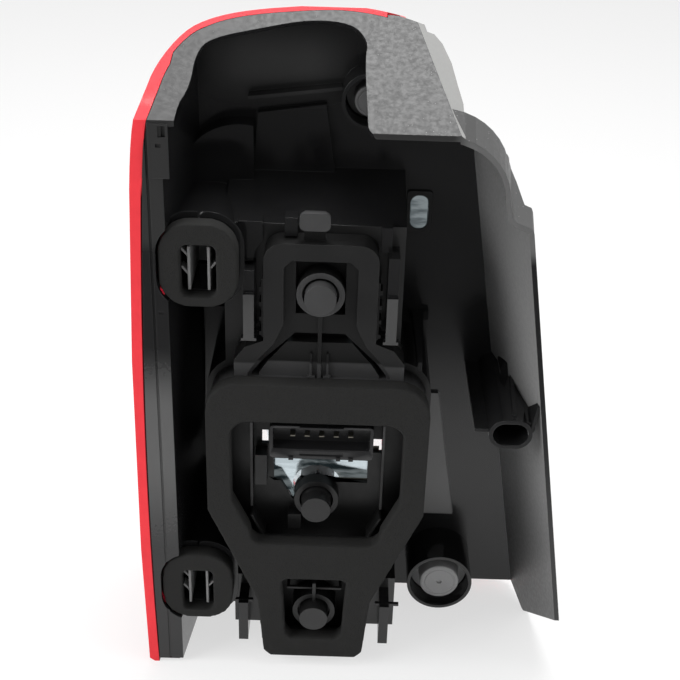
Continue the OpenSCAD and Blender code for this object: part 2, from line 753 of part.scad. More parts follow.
module bulb_holder() {
    color([0.3, 0.3, 0.31]) placed() difference() {
        union() {
            slab(socket_y, tower_y) holder_plan(1);
            difference() {
                slab(seal_t, socket_y + 1) seal_plan(1.5);
                slab(seal_t + 2.5, socket_y) seal_plan(1.5 + holder_wall);
                slab(0, socket_y) window_plan(1.5);
            }
            neck_frame();
            neck_teeth();
            plateau();
            thumb_tab();
            window_ribs();
            socket(stop_z, 3);
            socket(indicator_z, 0.5);
            socket(fog_z, 1.5);
        }
        socket_hollow(stop_z);
        socket_hollow(indicator_z);
        socket_hollow(fog_z);
        holder_slots();
        neck_hollow();
    }
}

// Outline of the neck and shoulders, and of the recess round the stop socket
function shoulder_half() = [[0, shoulders_z], [neck_hw, shoulders_z], [shoulder_hw - 6, shoulders_z - 4],
    [shoulder_hw, shoulders_z - 12], [shoulder_hw, seal_z - 10], [0, seal_z - 10]];
function recess_half(i) = [[0, neck_z - 9.4 + i], [15 + i, neck_z - 9.4 + i], [19 + i, neck_z - 13.4], [19 + i, 226], [24.4 + i, 214],
    [33 + i, 204], [38 + i, seal_z + 1], [38 + i, 180], [0, 180]];

module neck_frame() {
    difference() {
        union() {
            slab(neck_y, socket_y + 1) translate([0, neck_z - 32]) round_rect(2 * neck_hw, 64, 10);
            slab(neck_y, socket_y + 1) polygon(both_sides(shoulder_half()));
        }
        slab(neck_y - 1, neck_y + 3) polygon(both_sides(recess_half(0)));
        slab(neck_y - 1, socket_y - 2.5) {
            translate([0, stop_z + 3]) square([2 * ring_r + 0.6, 2 * (neck_z - 9.4 - stop_z) - 6], center = true);
            polygon(both_sides([[0, shoulders_z + 4], [13, shoulders_z + 4], [31, shoulders_z - 14], [36, seal_z], [36, 180], [0, 180]]));
        }
    }
}

// The space behind the neck's front, open towards the lens
module neck_hollow() {
    difference() {
        slab(neck_y + 3 + holder_wall, tower_y + 1) translate([0, neck_z - 28 - holder_wall])
            round_rect(2 * (neck_hw - holder_wall), 52, 8);
        slab(0, tower_y + 2) translate([0, neck_z - 34]) square([2 * (ring_r + holder_wall), 60], center = true);
    }
}

// Toothed strips on the neck's sides, which the latch arms press on
module neck_teeth() {
    for (s = [-1, 1]) {
        translate([s * (neck_hw + 0.4) - 0.6, neck_y + 1, shoulders_z + 2]) cube([1.2, 10, 33]);
        for (k = [0:3]) {
            translate([s * (neck_hw + 1.2) - 1, neck_y + 1, shoulders_z + 3 + 8.5 * k]) cube([2, 8, 2.2]);
        }
    }
}

// The raised field between neck and seal, with its three ribs
module plateau() {
    slab(plateau_y, socket_y) polygon(both_sides([[0, 214.5], [17.3, 214.5], [27.6, 202], [32, seal_z], [32, 180], [0, 180]]));
    translate([-1, neck_y + 1, seal_z - 3]) cube([2, socket_y - neck_y - 1, stop_z - ring_r - seal_z + 4]);
    for (s = [-1, 1]) {
        translate([s * 4.4 - 0.6, neck_y + 1.5, seal_z - 1]) cube([1.2, 4, 14.5]);
        translate([s * 4.2 - 2, neck_y + 1, seal_z - 1.5]) cube([4, 4, 1.5]);
    }
}

module thumb_tab() {
    slab(12, 15) translate([-3.6, 283]) round_rect(15.6, 9.6, 3);
    slab(15, 18) translate([-3.6, neck_z + 4]) square([11, 22], center = true);
}

// Ribs that stand in the seal's two windows
module window_ribs() {
    for (s = [-1, 1]) {
        translate([s * 36.4 - 0.7, 13, 107]) cube([1.4, socket_y - 12.5, 56]);
        translate([s * 33, 11, 94.5]) rotate([0, s * 25, 0]) translate([-0.6, 0, -8.5]) cube([1.2, socket_y - 10.5, 17]);
    }
    translate([-34.5, 14, 121]) cube([6.5, socket_y - 13.5, 20]);
    translate([-16, 15.5, crossbar_high]) cube([7.5, socket_y - 15, 10]);
    translate([-16, neck_y + 2, fog_z + 14]) cube([32, 1.6, 1.4]);
    translate([-16, neck_y + 2, fog_z + 14]) cube([1.6, socket_y - neck_y - 1, 1.4]);
    translate([14.4, neck_y + 2, fog_z + 14]) cube([1.6, socket_y - neck_y - 1, 1.4]);
    translate([-1, neck_y - 2, fog_z + 8]) cube([2, 10, 13.5]);
}

// Openings through the holder's plate
module holder_slots() {
    difference() {
        slab(socket_y - 1, tower_y + 1) {
            translate([slot_x, slot_z]) square([slot_w, slot_h], center = true);
            polygon([[-21, slot_z - 4], [-8, slot_z - 4], [-13.4, indicator_z - 6]]);
        }
        bar(0, indicator_z, ring_r + 0.4, 0, tower_y + 2);
    }
    slab(socket_y - 1, tower_y + 1) {
        translate([-31.2, 143]) square([3.6, 9]);
        translate([31, 139]) square([6, 9]);
    }
    slab(socket_y - 3.5, socket_y + 1.5) translate([10, 228.5]) square([8.6, 14]);
}

module holder_gasket() {
    color([0.13, 0.13, 0.13]) placed() slab(0, seal_t) difference() {
        seal_plan(0);
        window_plan(0);
    }
}

module clip_pad(x, z) {
    slab(1, pad_t + 1) translate([x, z]) difference() {
        round_rect(pad_w, pad_h, 16);
        translate([0, -3]) round_rect(socket_w + 1, socket_h + 1, 4);
        translate([-0.5, socket_h / 2]) square([1, 4.5]);
        translate([-0.5, pad_h / 2 - 3]) square([1, 4]);
    }
}

module clip_insert(x, z) {
    base_y = pad_t + 1 + socket_d;
    translate([x, 0, z - 3]) {
        translate([-8, base_y - 2, -socket_h / 2 + 1]) cube([16, 2, socket_h - 2]);
        for (s = [-1, 1]) {
            translate([s * 5 - 0.7, 5, -socket_h / 2 + 2]) cube([1.4, base_y - 5, socket_h - 4]);
        }
        for (zb = [-4, 6]) {
            translate([-5, 6, zb]) rotate([0, 50, 0]) translate([-6, 0, -0.6]) cube([6, 6, 1.2]);
        }
        translate([5, 6, -1]) rotate([0, -50, 0]) translate([0, 0, -0.6]) cube([5.5, 6, 1.2]);
    }
}

module upper_clip_pad() {
    color([0.17, 0.17, 0.17]) placed() clip_pad(-clip_up_x, clip_up_z);
}

module lower_clip_pad() {
    color([0.17, 0.17, 0.17]) placed() clip_pad(-clip_low_x, clip_low_z);
}

module upper_clip_insert() {
    color([0.35, 0.35, 0.36]) placed() clip_insert(-clip_up_x, clip_up_z);
}

module lower_clip_insert() {
    color([0.35, 0.35, 0.36]) placed() clip_insert(-clip_low_x, clip_low_z);
}

module vent_cap(p, r, y, disc_r) {
    bar(p[0], p[1], r - vent_wall - fit_gap, y + vent_step - 3, y + vent_step);
    difference() {
        bar(p[0], p[1], disc_r, y + 1, y + vent_step);
        bar(p[0], p[1], 1.4, y, y + 2);
    }
}

module upper_vent_cap() {
    color([0.28, 0.28, 0.29]) placed() vent_cap(up_vent, vent_up_r, vent_up_y, 8.2);
}

module lower_vent_cap() {
    color([0.28, 0.28, 0.29]) placed() vent_cap(low_vent, vent_low_r, vent_low_y, 12);
}

conn_x = 2.2;
conn_z = 152.2;
conn_w = 57;
conn_h = 21;
conn_wall = 1.8;
conn_y = 11;
conn_floor = socket_y - 3;

module connector_socket() {
    color([0.04, 0.04, 0.045]) placed() difference() {
        union() {
            slab(conn_y, socket_y) translate([conn_x, conn_z]) round_rect(conn_w, conn_h, 2);
            translate([conn_x - 12, conn_y - 1.2, conn_z + conn_h / 2 - 1.3]) cube([24, 3, 1.3]);
            for (x = [-18, 8, 15]) {
                translate([conn_x + x, conn_y - 1, conn_z - conn_h / 2 - 0.6]) cube([2.6, 4, 2]);
            }
        }
        slab(conn_y - 1, conn_floor) translate([conn_x, conn_z + 2.4]) round_rect(conn_w - 2 * conn_wall, conn_h - 2 * conn_wall - 4, 1);
        slab(conn_y - 1, conn_y + 0.8) translate([conn_x, conn_z - 7.4]) square([24, 2.4], center = true);
    }
}

module connector_pins() {
    color([0.75, 0.72, 0.6]) placed() for (k = [-2:2]) {
        translate([conn_x + k * 8 - 1.4, conn_floor - 4.5, conn_z + 1]) cube([2.8, 4.5, 0.8]);
    }
}

bulb_y = tower_y + 0.3;

module bulb_glass(z) {
    y0 = bulb_y + bulb_cap_l;
    translate([0, y0, z]) rotate([-90, 0, 0]) rotate_extrude() polygon(concat(
        [[0, 0], [bulb_cap_r - 1, 0], [bulb_cap_r - 1, 4]],
        arc(0, glass_l - glass_r, glass_r, -38, 81, 9), [[0, glass_l]]));
}

module bulb_cap(z) {
    bar(0, z, bulb_cap_r, bulb_y, bulb_y + bulb_cap_l);
}

module stop_bulb_glass() {
    color([0.9, 0.9, 0.92, 0.5]) placed() bulb_glass(stop_z);
}

module stop_bulb_cap() {
    color([0.75, 0.68, 0.45]) placed() bulb_cap(stop_z);
}

module indicator_bulb_glass() {
    color([0.95, 0.6, 0.2, 0.5]) placed() bulb_glass(indicator_z);
}

module indicator_bulb_cap() {
    color([0.75, 0.68, 0.45]) placed() bulb_cap(indicator_z);
}

module fog_bulb_glass() {
    color([0.9, 0.9, 0.92, 0.5]) placed() bulb_glass(fog_z);
}

module fog_bulb_cap() {
    color([0.75, 0.68, 0.45]) placed() bulb_cap(fog_z);
}

strip_t = 0.8;
earth_x = 13;
slot_side_x = 32.5;

// A stamped contact strip on the front of the holder's plate
module strip(x, z0, z1, w) {
    translate([x - w / 2, tower_y, z0]) cube([w, strip_t, z1 - z0]);
}

module earth_strip() {
    color([0.8, 0.76, 0.6]) placed() {
        strip(earth_x, fog_z - 8, slot_z - slot_h, 5);
        strip(slot_side_x, slot_z - slot_h - 3, slot_z + slot_h + 3, 4);
        strip(earth_x, slot_z + slot_h, stop_z - 4, 5);
        for (z = [slot_z - slot_h - 3, slot_z + slot_h]) {
            translate([earth_x - 2.5, tower_y, z]) cube([slot_side_x + 2 - earth_x + 2.5, strip_t, 3]);
        }
    }
}

module stop_strip() {
    color([0.8, 0.76, 0.6]) placed() strip(-12.5, conn_z - 8, stop_z - 4, 3);
}

module indicator_strip() {
    color([0.8, 0.76, 0.6]) placed() strip(-12.5, crossbar_high, indicator_z - 8, 3);
}

module fog_strip() {
    color([0.8, 0.76, 0.6]) placed() strip(-12.5, fog_z - 8, crossbar_low + 4, 3);
}

housing();
outer_lens();
clear_lens();
reflector();
bulb_holder();
holder_gasket();
upper_clip_pad();
lower_clip_pad();
upper_clip_insert();
lower_clip_insert();
upper_vent_cap();
lower_vent_cap();
connector_socket();
connector_pins();
stop_bulb_glass();
stop_bulb_cap();
indicator_bulb_glass();
indicator_bulb_cap();
fog_bulb_glass();
fog_bulb_cap();
earth_strip();
stop_strip();
indicator_strip();
fog_strip();
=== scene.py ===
"""Looks of a car tail light cluster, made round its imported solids.

All places are in the frame of the solids. Sizes named in millimetres are measured like the
part's own source: x from the bulbs' line, y from the rear face of the body seal, z from the
standing edge. Bare numbers in the zones of a finish are metres in the frame of the solids.
"""

import json
import logging
import math
from dataclasses import dataclass, field
from enum import Enum
from typing import Any, Callable, Sequence

import bmesh
import bpy
from mathutils import Matrix, Vector

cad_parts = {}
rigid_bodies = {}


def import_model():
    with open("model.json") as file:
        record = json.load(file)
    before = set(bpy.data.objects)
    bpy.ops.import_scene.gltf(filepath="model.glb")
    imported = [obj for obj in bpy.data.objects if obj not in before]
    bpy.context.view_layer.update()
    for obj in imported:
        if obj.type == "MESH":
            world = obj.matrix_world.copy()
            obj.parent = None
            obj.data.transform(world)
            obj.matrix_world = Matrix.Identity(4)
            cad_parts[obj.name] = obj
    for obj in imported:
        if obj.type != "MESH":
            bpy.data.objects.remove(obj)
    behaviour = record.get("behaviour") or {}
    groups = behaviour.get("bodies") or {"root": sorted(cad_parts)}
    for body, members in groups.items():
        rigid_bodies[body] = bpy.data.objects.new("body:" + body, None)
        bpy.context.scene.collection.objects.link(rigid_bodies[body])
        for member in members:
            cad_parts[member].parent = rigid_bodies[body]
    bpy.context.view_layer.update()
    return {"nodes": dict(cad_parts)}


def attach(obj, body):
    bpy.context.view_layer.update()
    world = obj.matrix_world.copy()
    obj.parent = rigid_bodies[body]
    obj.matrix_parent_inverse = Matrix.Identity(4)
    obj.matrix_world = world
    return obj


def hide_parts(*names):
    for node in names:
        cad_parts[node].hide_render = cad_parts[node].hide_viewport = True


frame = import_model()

LOG = logging.getLogger("tail_light")
BODY = "root"
CROSSBAR_Z = 77.5
MM = 0.001
MERGE_DISTANCE = 0.00001
COPLANAR_DEGREES = 1

Number = float | int
Triple = tuple[float, float, float]


def at(x: float, y: float, z: float) -> Vector:
    """Turns a place in the source's millimetres into the frame's metres.

    Args:
        x: millimetres inboard of the bulbs' line.
        y: millimetres in front of the seal's rear face.
        z: millimetres above the standing edge.

    Returns:
        The place in metres, in the frame of the solids.
    """
    return Vector((x, y, z - CROSSBAR_Z)) * MM


# Shader graphs


class Wire:
    """A socket of a shader graph, with arithmetic that adds Math nodes."""

    def __init__(self, graph: "Graph", socket: bpy.types.NodeSocket) -> None:
        """Keeps the graph and the output socket that the wire starts from."""
        self.graph = graph
        self.socket = socket

    def __add__(self, other: "Wire | Number") -> "Wire":
        """The sum of two values."""
        return self.graph.math("ADD", self, other)

    def __sub__(self, other: "Wire | Number") -> "Wire":
        """This value less another."""
        return self.graph.math("SUBTRACT", self, other)

    def __rsub__(self, other: Number) -> "Wire":
        """A number less this value."""
        return self.graph.math("SUBTRACT", other, self)

    def __mul__(self, other: "Wire | Number") -> "Wire":
        """The product of two values."""
        return self.graph.math("MULTIPLY", self, other)

    def __truediv__(self, other: "Wire | Number") -> "Wire":
        """This value divided by another."""
        return self.graph.math("DIVIDE", self, other)

    def larger(self, other: "Wire | Number") -> "Wire":
        """The larger of two values."""
        return self.graph.math("MAXIMUM", self, other)


class Graph:
    """The node graph of one material or of the world."""

    def __init__(self, tree: bpy.types.NodeTree) -> None:
        """Empties the tree and keeps it."""
        self.tree = tree
        tree.nodes.clear()
        self._object_place: Wire | None = None

    def node(self, kind: str, settings: dict[str, Any] | None = None,
             inputs: dict[Any, Any] | None = None) -> bpy.types.Node:
        """Adds one node.

        Args:
            kind: Blender's name for the node's type.
            settings: what the node itself is set to, set before its sockets.
            inputs: values or wires for its input sockets, by name or number.

        Returns:
            The new node.
        """
        made = self.tree.nodes.new(kind)
        for name, value in (settings or {}).items():
            setattr(made, name, value)
        for name, value in (inputs or {}).items():
            if isinstance(value, Wire):
                self.tree.links.new(value.socket, made.inputs[name])
            else:
                made.inputs[name].default_value = value
        return made

    def wire(self, kind: str, out: Any = 0, settings: dict[str, Any] | None = None,
             inputs: dict[Any, Any] | None = None) -> Wire:
        """Adds one node and returns the wire from one of its outputs."""
        return Wire(self, self.node(kind, settings, inputs).outputs[out])

    def math(self, operation: str, a: Wire | Number, b: Wire | Number) -> Wire:
        """Adds a Math node for two values."""
        return self.wire("ShaderNodeMath", 0, {"operation": operation}, {0: a, 1: b})

    @property
    def place(self) -> Wire:
        """Object coordinates, in metres."""
        if self._object_place is None:
            self._object_place = self.wire("ShaderNodeTexCoord", "Object")
        return self._object_place

    def axis(self, letter: str) -> Wire:
        """One of the object coordinates, in metres."""
        return self.wire("ShaderNodeSeparateXYZ", letter, None, {0: self.place})

    def facing(self, direction: Triple) -> Wire:
        """How far the surface's true normal points along a direction, from -1 to 1."""
        normal = self.wire("ShaderNodeNewGeometry", "True Normal")
        return self.wire("ShaderNodeVectorMath", "Value", {"operation": "DOT_PRODUCT"},
                         {0: normal, 1: direction})

    def noise(self, size_mm: float, detail: float = 2.0, roughness: float = 0.5,
              stretch: Triple = (1, 1, 1)) -> Wire:
        """Noise with features of about one size, from 0 to 1."""
        mapped = self.wire("ShaderNodeMapping", 0, None, {0: self.place, "Scale": stretch})
        return self.wire("ShaderNodeTexNoise", 0, None,
                         {"Vector": mapped, "Scale": 1000 / size_mm, "Detail": detail,
                          "Roughness": roughness})

    def cells(self, size_mm: float, randomness: float = 1.0) -> Wire:
        """Distance to the nearest point of a scatter whose points lie about one size apart."""
        return self.wire("ShaderNodeTexVoronoi", "Distance", None,
                         {"Vector": self.place, "Scale": 1000 / size_mm, "Randomness": randomness})

    def ramp(self, value: Wire, low: float, high: float, out_low: float = 0.0,
             out_high: float = 1.0) -> Wire:
        """A value spread between two levels, smoothly and without overshoot."""
        return self.wire("ShaderNodeMapRange", 0, {"interpolation_type": "SMOOTHSTEP"},
                         {0: value, 1: low, 2: high, 3: out_low, 4: out_high})

    def blend(self, factor: Wire | Number, a: "Wire | Triple", b: "Wire | Triple") -> Wire:
        """One colour mixed into another."""
        made = self.node("ShaderNodeMix", {"data_type": "RGBA"})
        for socket, value in ((made.inputs[0], factor), (made.inputs[6], a), (made.inputs[7], b)):
            if isinstance(value, Wire):
                self.tree.links.new(value.socket, socket)
            elif isinstance(value, tuple):
                socket.default_value = (*value, 1)
            else:
                socket.default_value = value
        return Wire(self, made.outputs[2])

    def bump(self, height: Wire, depth_mm: float, strength: float = 1.0,
             edge_mm: float = 0.0) -> Wire:
        """A normal from a height of 0 to 1 that stands for a depth, over slightly round edges."""
        inputs = {"Height": height, "Distance": depth_mm * MM, "Strength": strength}
        if edge_mm:
            inputs["Normal"] = self.wire("ShaderNodeBevel", 0, {"samples": 4},
                                         {"Radius": edge_mm * MM})
        return self.wire("ShaderNodeBump", 0, None, inputs)

    def between(self, value: Wire, low: "Wire | Number", high: "Wire | Number",
                soft: float = 0.0008) -> Wire:
        """1 where a place in metres lies between two limits, with soft ends."""
        return self.ramp(value - low, -soft, soft) * self.ramp(high - value, -soft, soft)

    def output(self, shader: Wire) -> None:
        """Ends a material's graph in one shader."""
        out = self.node("ShaderNodeOutputMaterial")
        self.tree.links.new(shader.socket, out.inputs[0])

    def surface(self, inputs: dict[Any, Any]) -> None:
        """Ends the graph in one Principled shader."""
        self.output(self.wire("ShaderNodeBsdfPrincipled", 0, None, inputs))

    def mixed(self, factor: Wire, first: dict[Any, Any], second: dict[Any, Any]) -> None:
        """Ends the graph in two Principled shaders, the second where the factor is 1."""
        shaders = [self.wire("ShaderNodeBsdfPrincipled", 0, None, inputs)
                   for inputs in (first, second)]
        self.output(self.wire("ShaderNodeMixShader", 0, None,
                              {0: factor, 1: shaders[0], 2: shaders[1]}))


# Finishes

PLASTIC_INDEX = 1.5
BACKWARDS = (0, -1, 0)


def grey(tone: float) -> Triple:
    """A neutral colour of one brightness."""
    return (tone, tone, tone)


@dataclass(frozen=True)
class Finish:
    """A surface finish, which makes one procedural material."""

    name: str
    colour: Triple
    roughness: float

    def material(self) -> bpy.types.Material:
        """The finish's material, made once."""
        made = bpy.data.materials.get(self.name)
        if made is None:
            made = bpy.data.materials.new(self.name)
            made.use_nodes = True
            self.build(Graph(made.node_tree))
        return made

    def toned(self, factor: float) -> Triple:
        """The finish's colour, made darker or lighter by a factor."""
        red, green, blue = self.colour
        return (red * factor, green * factor, blue * factor)

    def build(self, graph: Graph) -> None:
        """Fills the material's graph."""
        raise NotImplementedError


@dataclass(frozen=True)
class MouldedPlastic(Finish):
    """Injection-moulded plastic, with a faint flow pattern and fine grain."""

    grain_mm: float = 0.5
    grain_depth_mm: float = 0.01
    gloss_spread: float = 0.08
    edge_mm: float = 0.35
    flow_mm: float = 26
    wear_mm: float = 3.1

    def build(self, graph: Graph) -> None:
        """Fills the material's graph."""
        flow = graph.noise(self.flow_mm, 3, 0.55)
        wear = graph.noise(self.wear_mm, 4, 0.6)
        tint = self.shaded(graph, graph.blend(flow, self.toned(0.82), self.toned(1.22)))
        rough = graph.ramp(flow * 0.6 + wear * 0.4, 0.3, 0.7,
                           self.roughness - self.gloss_spread, self.roughness + self.gloss_spread)
        grain = graph.noise(self.grain_mm, 2, 0.5)
        graph.surface({"Base Color": tint, "Roughness": rough, "IOR": PLASTIC_INDEX,
                       "Normal": graph.bump(grain, self.grain_depth_mm, 1, self.edge_mm)})

    def shaded(self, graph: Graph, tint: Wire) -> Wire:
        """The plastic's colour with any painted shade; plain plastic has none."""
        return tint


@dataclass(frozen=True)
class HolderPlastic(MouldedPlastic):
    """The bulb holder's plastic, with painted shade that makes it nearly black in its deep plate
    and darker towards its foot.
    """

    deep_painted_shade_tone: float = 0.007
    foot_painted_shade_share: float = 0.85

    def shaded(self, graph: Graph, tint: Wire) -> Wire:
        """Paints shade on the foot, the recess round the stop socket and the deep plate."""
        depth, height = graph.axis("Y"), graph.axis("Z")
        # Painted shade: the deep plate and the recess go nearly black, and the foot goes darker.
        dark = grey(self.deep_painted_shade_tone)
        recess = graph.ramp(depth, 0.0092, 0.0096) * graph.between(height, 0.125, 0.2)
        deep = graph.ramp(depth, 0.012, 0.021).larger(recess)
        foot = graph.ramp(height, 0.06, 0.075, self.foot_painted_shade_share, 0)
        return graph.blend(deep, graph.blend(foot, tint, dark), dark)


@dataclass(frozen=True)
class HousingPlastic(Finish):
    """Black housing plastic: polished inside, eroded satin and dusty on its outside, with painted
    light in lighter zones.
    """

    satin: float = 0.46
    edge_mm: float = 0.5
    roof_tone: float = 0.022
    flank_painted_light_tone: float = 0.3
    band_painted_light_tone: float = 0.07
    lip_painted_light_tone: float = 0.03
    ledge_painted_light_tone: float = 0.13
    wing_painted_light_tone: float = 0.2
    wing_foot_painted_light_tone: float = 0.05
    wing_head_painted_light_tone: float = 0.15
    panel_painted_light_tone: float = 0.16
    flange_painted_light_tone: float = 0.1
    hood_painted_light_tone: float = 0.05
    latch_painted_light_tone: float = 0.07
    tower_painted_light_tone: float = 0.035
    dust_tone: float = 0.6
    dust_share: float = 0.8
    roof_way: Triple = (0, -0.515, 0.857)
    flank_way: Triple = (0.551, -0.286, 0.783)
    band_way: Triple = (0.62, -0.35, 0.7)
    wing_way: Triple = (-0.955, -0.256, -0.153)
    panel_top_z: float = 149
    panel_foot_z: float = 61

    def build(self, graph: Graph) -> None:
        """Fills the material's graph."""
        flow = graph.noise(34, 3, 0.55)
        wear = graph.noise(2.4, 4, 0.65)
        grain = graph.noise(0.45, 2, 0.6)
        roof, flank, band = self.outer_zones(graph)
        wing, panel, flange = self.satin_zones(graph)
        hood, latch, tower, rim = self.inner_zones(graph)
        outside = roof.larger(flank).larger(band)
        satin = outside.larger(wing).larger(panel).larger(flange)
        # Painted light: the zones get lighter greys that stand for light falling on the flank,
        # band, rear rim, wing, tray panel, flange, the patch under the roof, the latch arms and the
        # tower's face.
        tint = graph.blend(flow, self.toned(0.8), self.toned(1.25))
        painted_flank_light = (self.flank_painted_light_tone, self.flank_painted_light_tone, self.flank_painted_light_tone * 0.98)
        for zone, shade in ((wing, self.wing_painted_light(graph)), (flange, grey(self.flange_painted_light_tone)),
                            (hood, grey(self.hood_painted_light_tone)), (latch, grey(self.latch_painted_light_tone)),
                            (tower, grey(self.tower_painted_light_tone)), (rim, self.rim_painted_light(graph)),
                            (panel, grey(self.panel_painted_light_tone)), (band, grey(self.band_painted_light_tone)),
                            (roof, grey(self.roof_tone)), (flank, painted_flank_light)):
            tint = graph.blend(zone, tint, shade)
        specks = self.specks(graph, wear) * outside * self.dust_share
        tint = graph.blend(specks, tint, grey(self.dust_tone))
        polished = graph.ramp(flow * 0.55 + wear * 0.45, 0.3, 0.7,
                              self.roughness * 0.6, self.roughness * 1.6)
        eroded = graph.ramp(wear, 0.3, 0.7, self.satin - 0.06, self.satin + 0.08)
        graph.surface({"Base Color": tint, "Roughness": polished + (eroded - polished) * satin,
                       "IOR": PLASTIC_INDEX,
                       "Normal": graph.bump(grain * satin + flow * 0.3, 0.012, 1, self.edge_mm)})

    def outer_zones(self, graph: Graph) -> tuple[Wire, Wire, Wire]:
        """The roof, its flank and the rolled band below it, told by height and direction."""
        inboard, height = graph.axis("X"), graph.axis("Z")
        roof = graph.ramp(graph.facing(self.roof_way), 0.9, 0.98) * graph.ramp(height, 0.245, 0.25)
        flank = (graph.ramp(graph.facing(self.flank_way), 0.988, 0.996)
                 * graph.ramp(height, 0.2, 0.21))
        band = (graph.ramp(graph.facing(self.band_way), 0.5, 0.75)
                * graph.ramp(height, 0.2, 0.206) * graph.ramp(inboard, 0.052, 0.056))
        return roof, flank, band

    def satin_zones(self, graph: Graph) -> tuple[Wire, Wire, Wire]:
        """The wing's inner face, the tapered panel in the tray and the outboard flange: satin zones
        that are also painted lighter as painted light.
        """
        inboard, height = graph.axis("X"), graph.axis("Z")
        behind = self.faces_back(graph)
        wing = (graph.ramp(graph.facing(self.wing_way), 0.93, 0.98)
                * graph.ramp(inboard, 0.055, 0.06))
        top = (self.panel_top_z - CROSSBAR_Z) * MM
        foot = (self.panel_foot_z - CROSSBAR_Z) * MM
        fall = top - height
        panel = (graph.between(inboard, fall * 0.053 + 0.0502, fall * 0.161 + 0.0702)
                 * graph.between(height, foot, top) * behind)
        flange = (behind * graph.ramp(inboard, -0.077, -0.0765, 1, 0)
                  * graph.ramp(height, 0.0, 0.07) * graph.ramp(height, 0.1, 0.14, 1, 0))
        return wing, panel, flange

    def inner_zones(self, graph: Graph) -> tuple[Wire, Wire, Wire, Wire]:
        """The lit patch under the roof, the latch arms, the tower's face and the rear rim, all
        painted lighter as painted light.
        """
        inboard, depth, height = graph.axis("X"), graph.axis("Y"), graph.axis("Z")
        behind = self.faces_back(graph)
        hood = (graph.between(inboard, -0.056, 0.004, 0.016)
                * graph.between(height, 0.254, 0.281, 0.012) * graph.ramp(depth, 0.06, 0.065))
        latch = (behind * graph.between(depth, 0.0075, 0.0085, 0.0002)
                 * graph.between(height, 0.06, 0.17))
        tower = behind * graph.between(depth, 0.0255, 0.0265, 0.0002)
        rim = behind * graph.ramp(height, 0.19, 0.2) * graph.ramp(depth, 0.003, 0.005, 1, 0)
        return hood, latch, tower, rim

    def faces_back(self, graph: Graph) -> Wire:
        """1 where a face looks straight backwards."""
        return graph.ramp(graph.facing(BACKWARDS), 0.9, 0.99)

    def rim_painted_light(self, graph: Graph) -> Wire:
        """The rear rim's painted light: dim round the opening, brighter on the inboard ledge."""
        return graph.blend(graph.ramp(graph.axis("X"), 0.06, 0.07),
                           grey(self.lip_painted_light_tone), grey(self.ledge_painted_light_tone))

    def wing_painted_light(self, graph: Graph) -> Wire:
        """The wing's painted light: a light grey for the light on its satin face, dimmest at its
        foot and a little dimmer at its head.
        """
        height = graph.axis("Z")
        shade = graph.blend(graph.ramp(height, -0.06, 0.06),
                            grey(self.wing_foot_painted_light_tone), grey(self.wing_painted_light_tone))
        return graph.blend(graph.ramp(height, 0.12, 0.24), shade, grey(self.wing_head_painted_light_tone))

    def specks(self, graph: Graph, wear: Wire) -> Wire:
        """Specks of dust, which lie closer near the roof's lower and inboard edges."""
        worn = (graph.ramp(graph.axis("X"), 0.03, 0.075)
                .larger(graph.ramp(graph.axis("Z"), 0.215, 0.235, 1, 0)))
        return (graph.ramp(graph.cells(1.7), 0.06, 0.13, 1, 0)
                * graph.ramp(wear + worn * 0.12, 0.56, 0.66))


@dataclass(frozen=True)
class ClearPlastic(Finish):
    """Clear or tinted moulded plastic or glass."""

    clear: float = 0.9
    index: float = 1.49

    def build(self, graph: Graph) -> None:
        """Fills the material's graph."""
        haze = graph.noise(18, 3, 0.6)
        rough = graph.ramp(haze, 0.35, 0.7, self.roughness * 0.6, self.roughness * 1.5)
        graph.surface({"Base Color": graph.blend(haze, self.toned(0.9), self.colour),
                       "Roughness": rough, "IOR": self.index, "Transmission Weight": self.clear,
                       "Normal": graph.bump(graph.noise(9, 2), 0.01)})


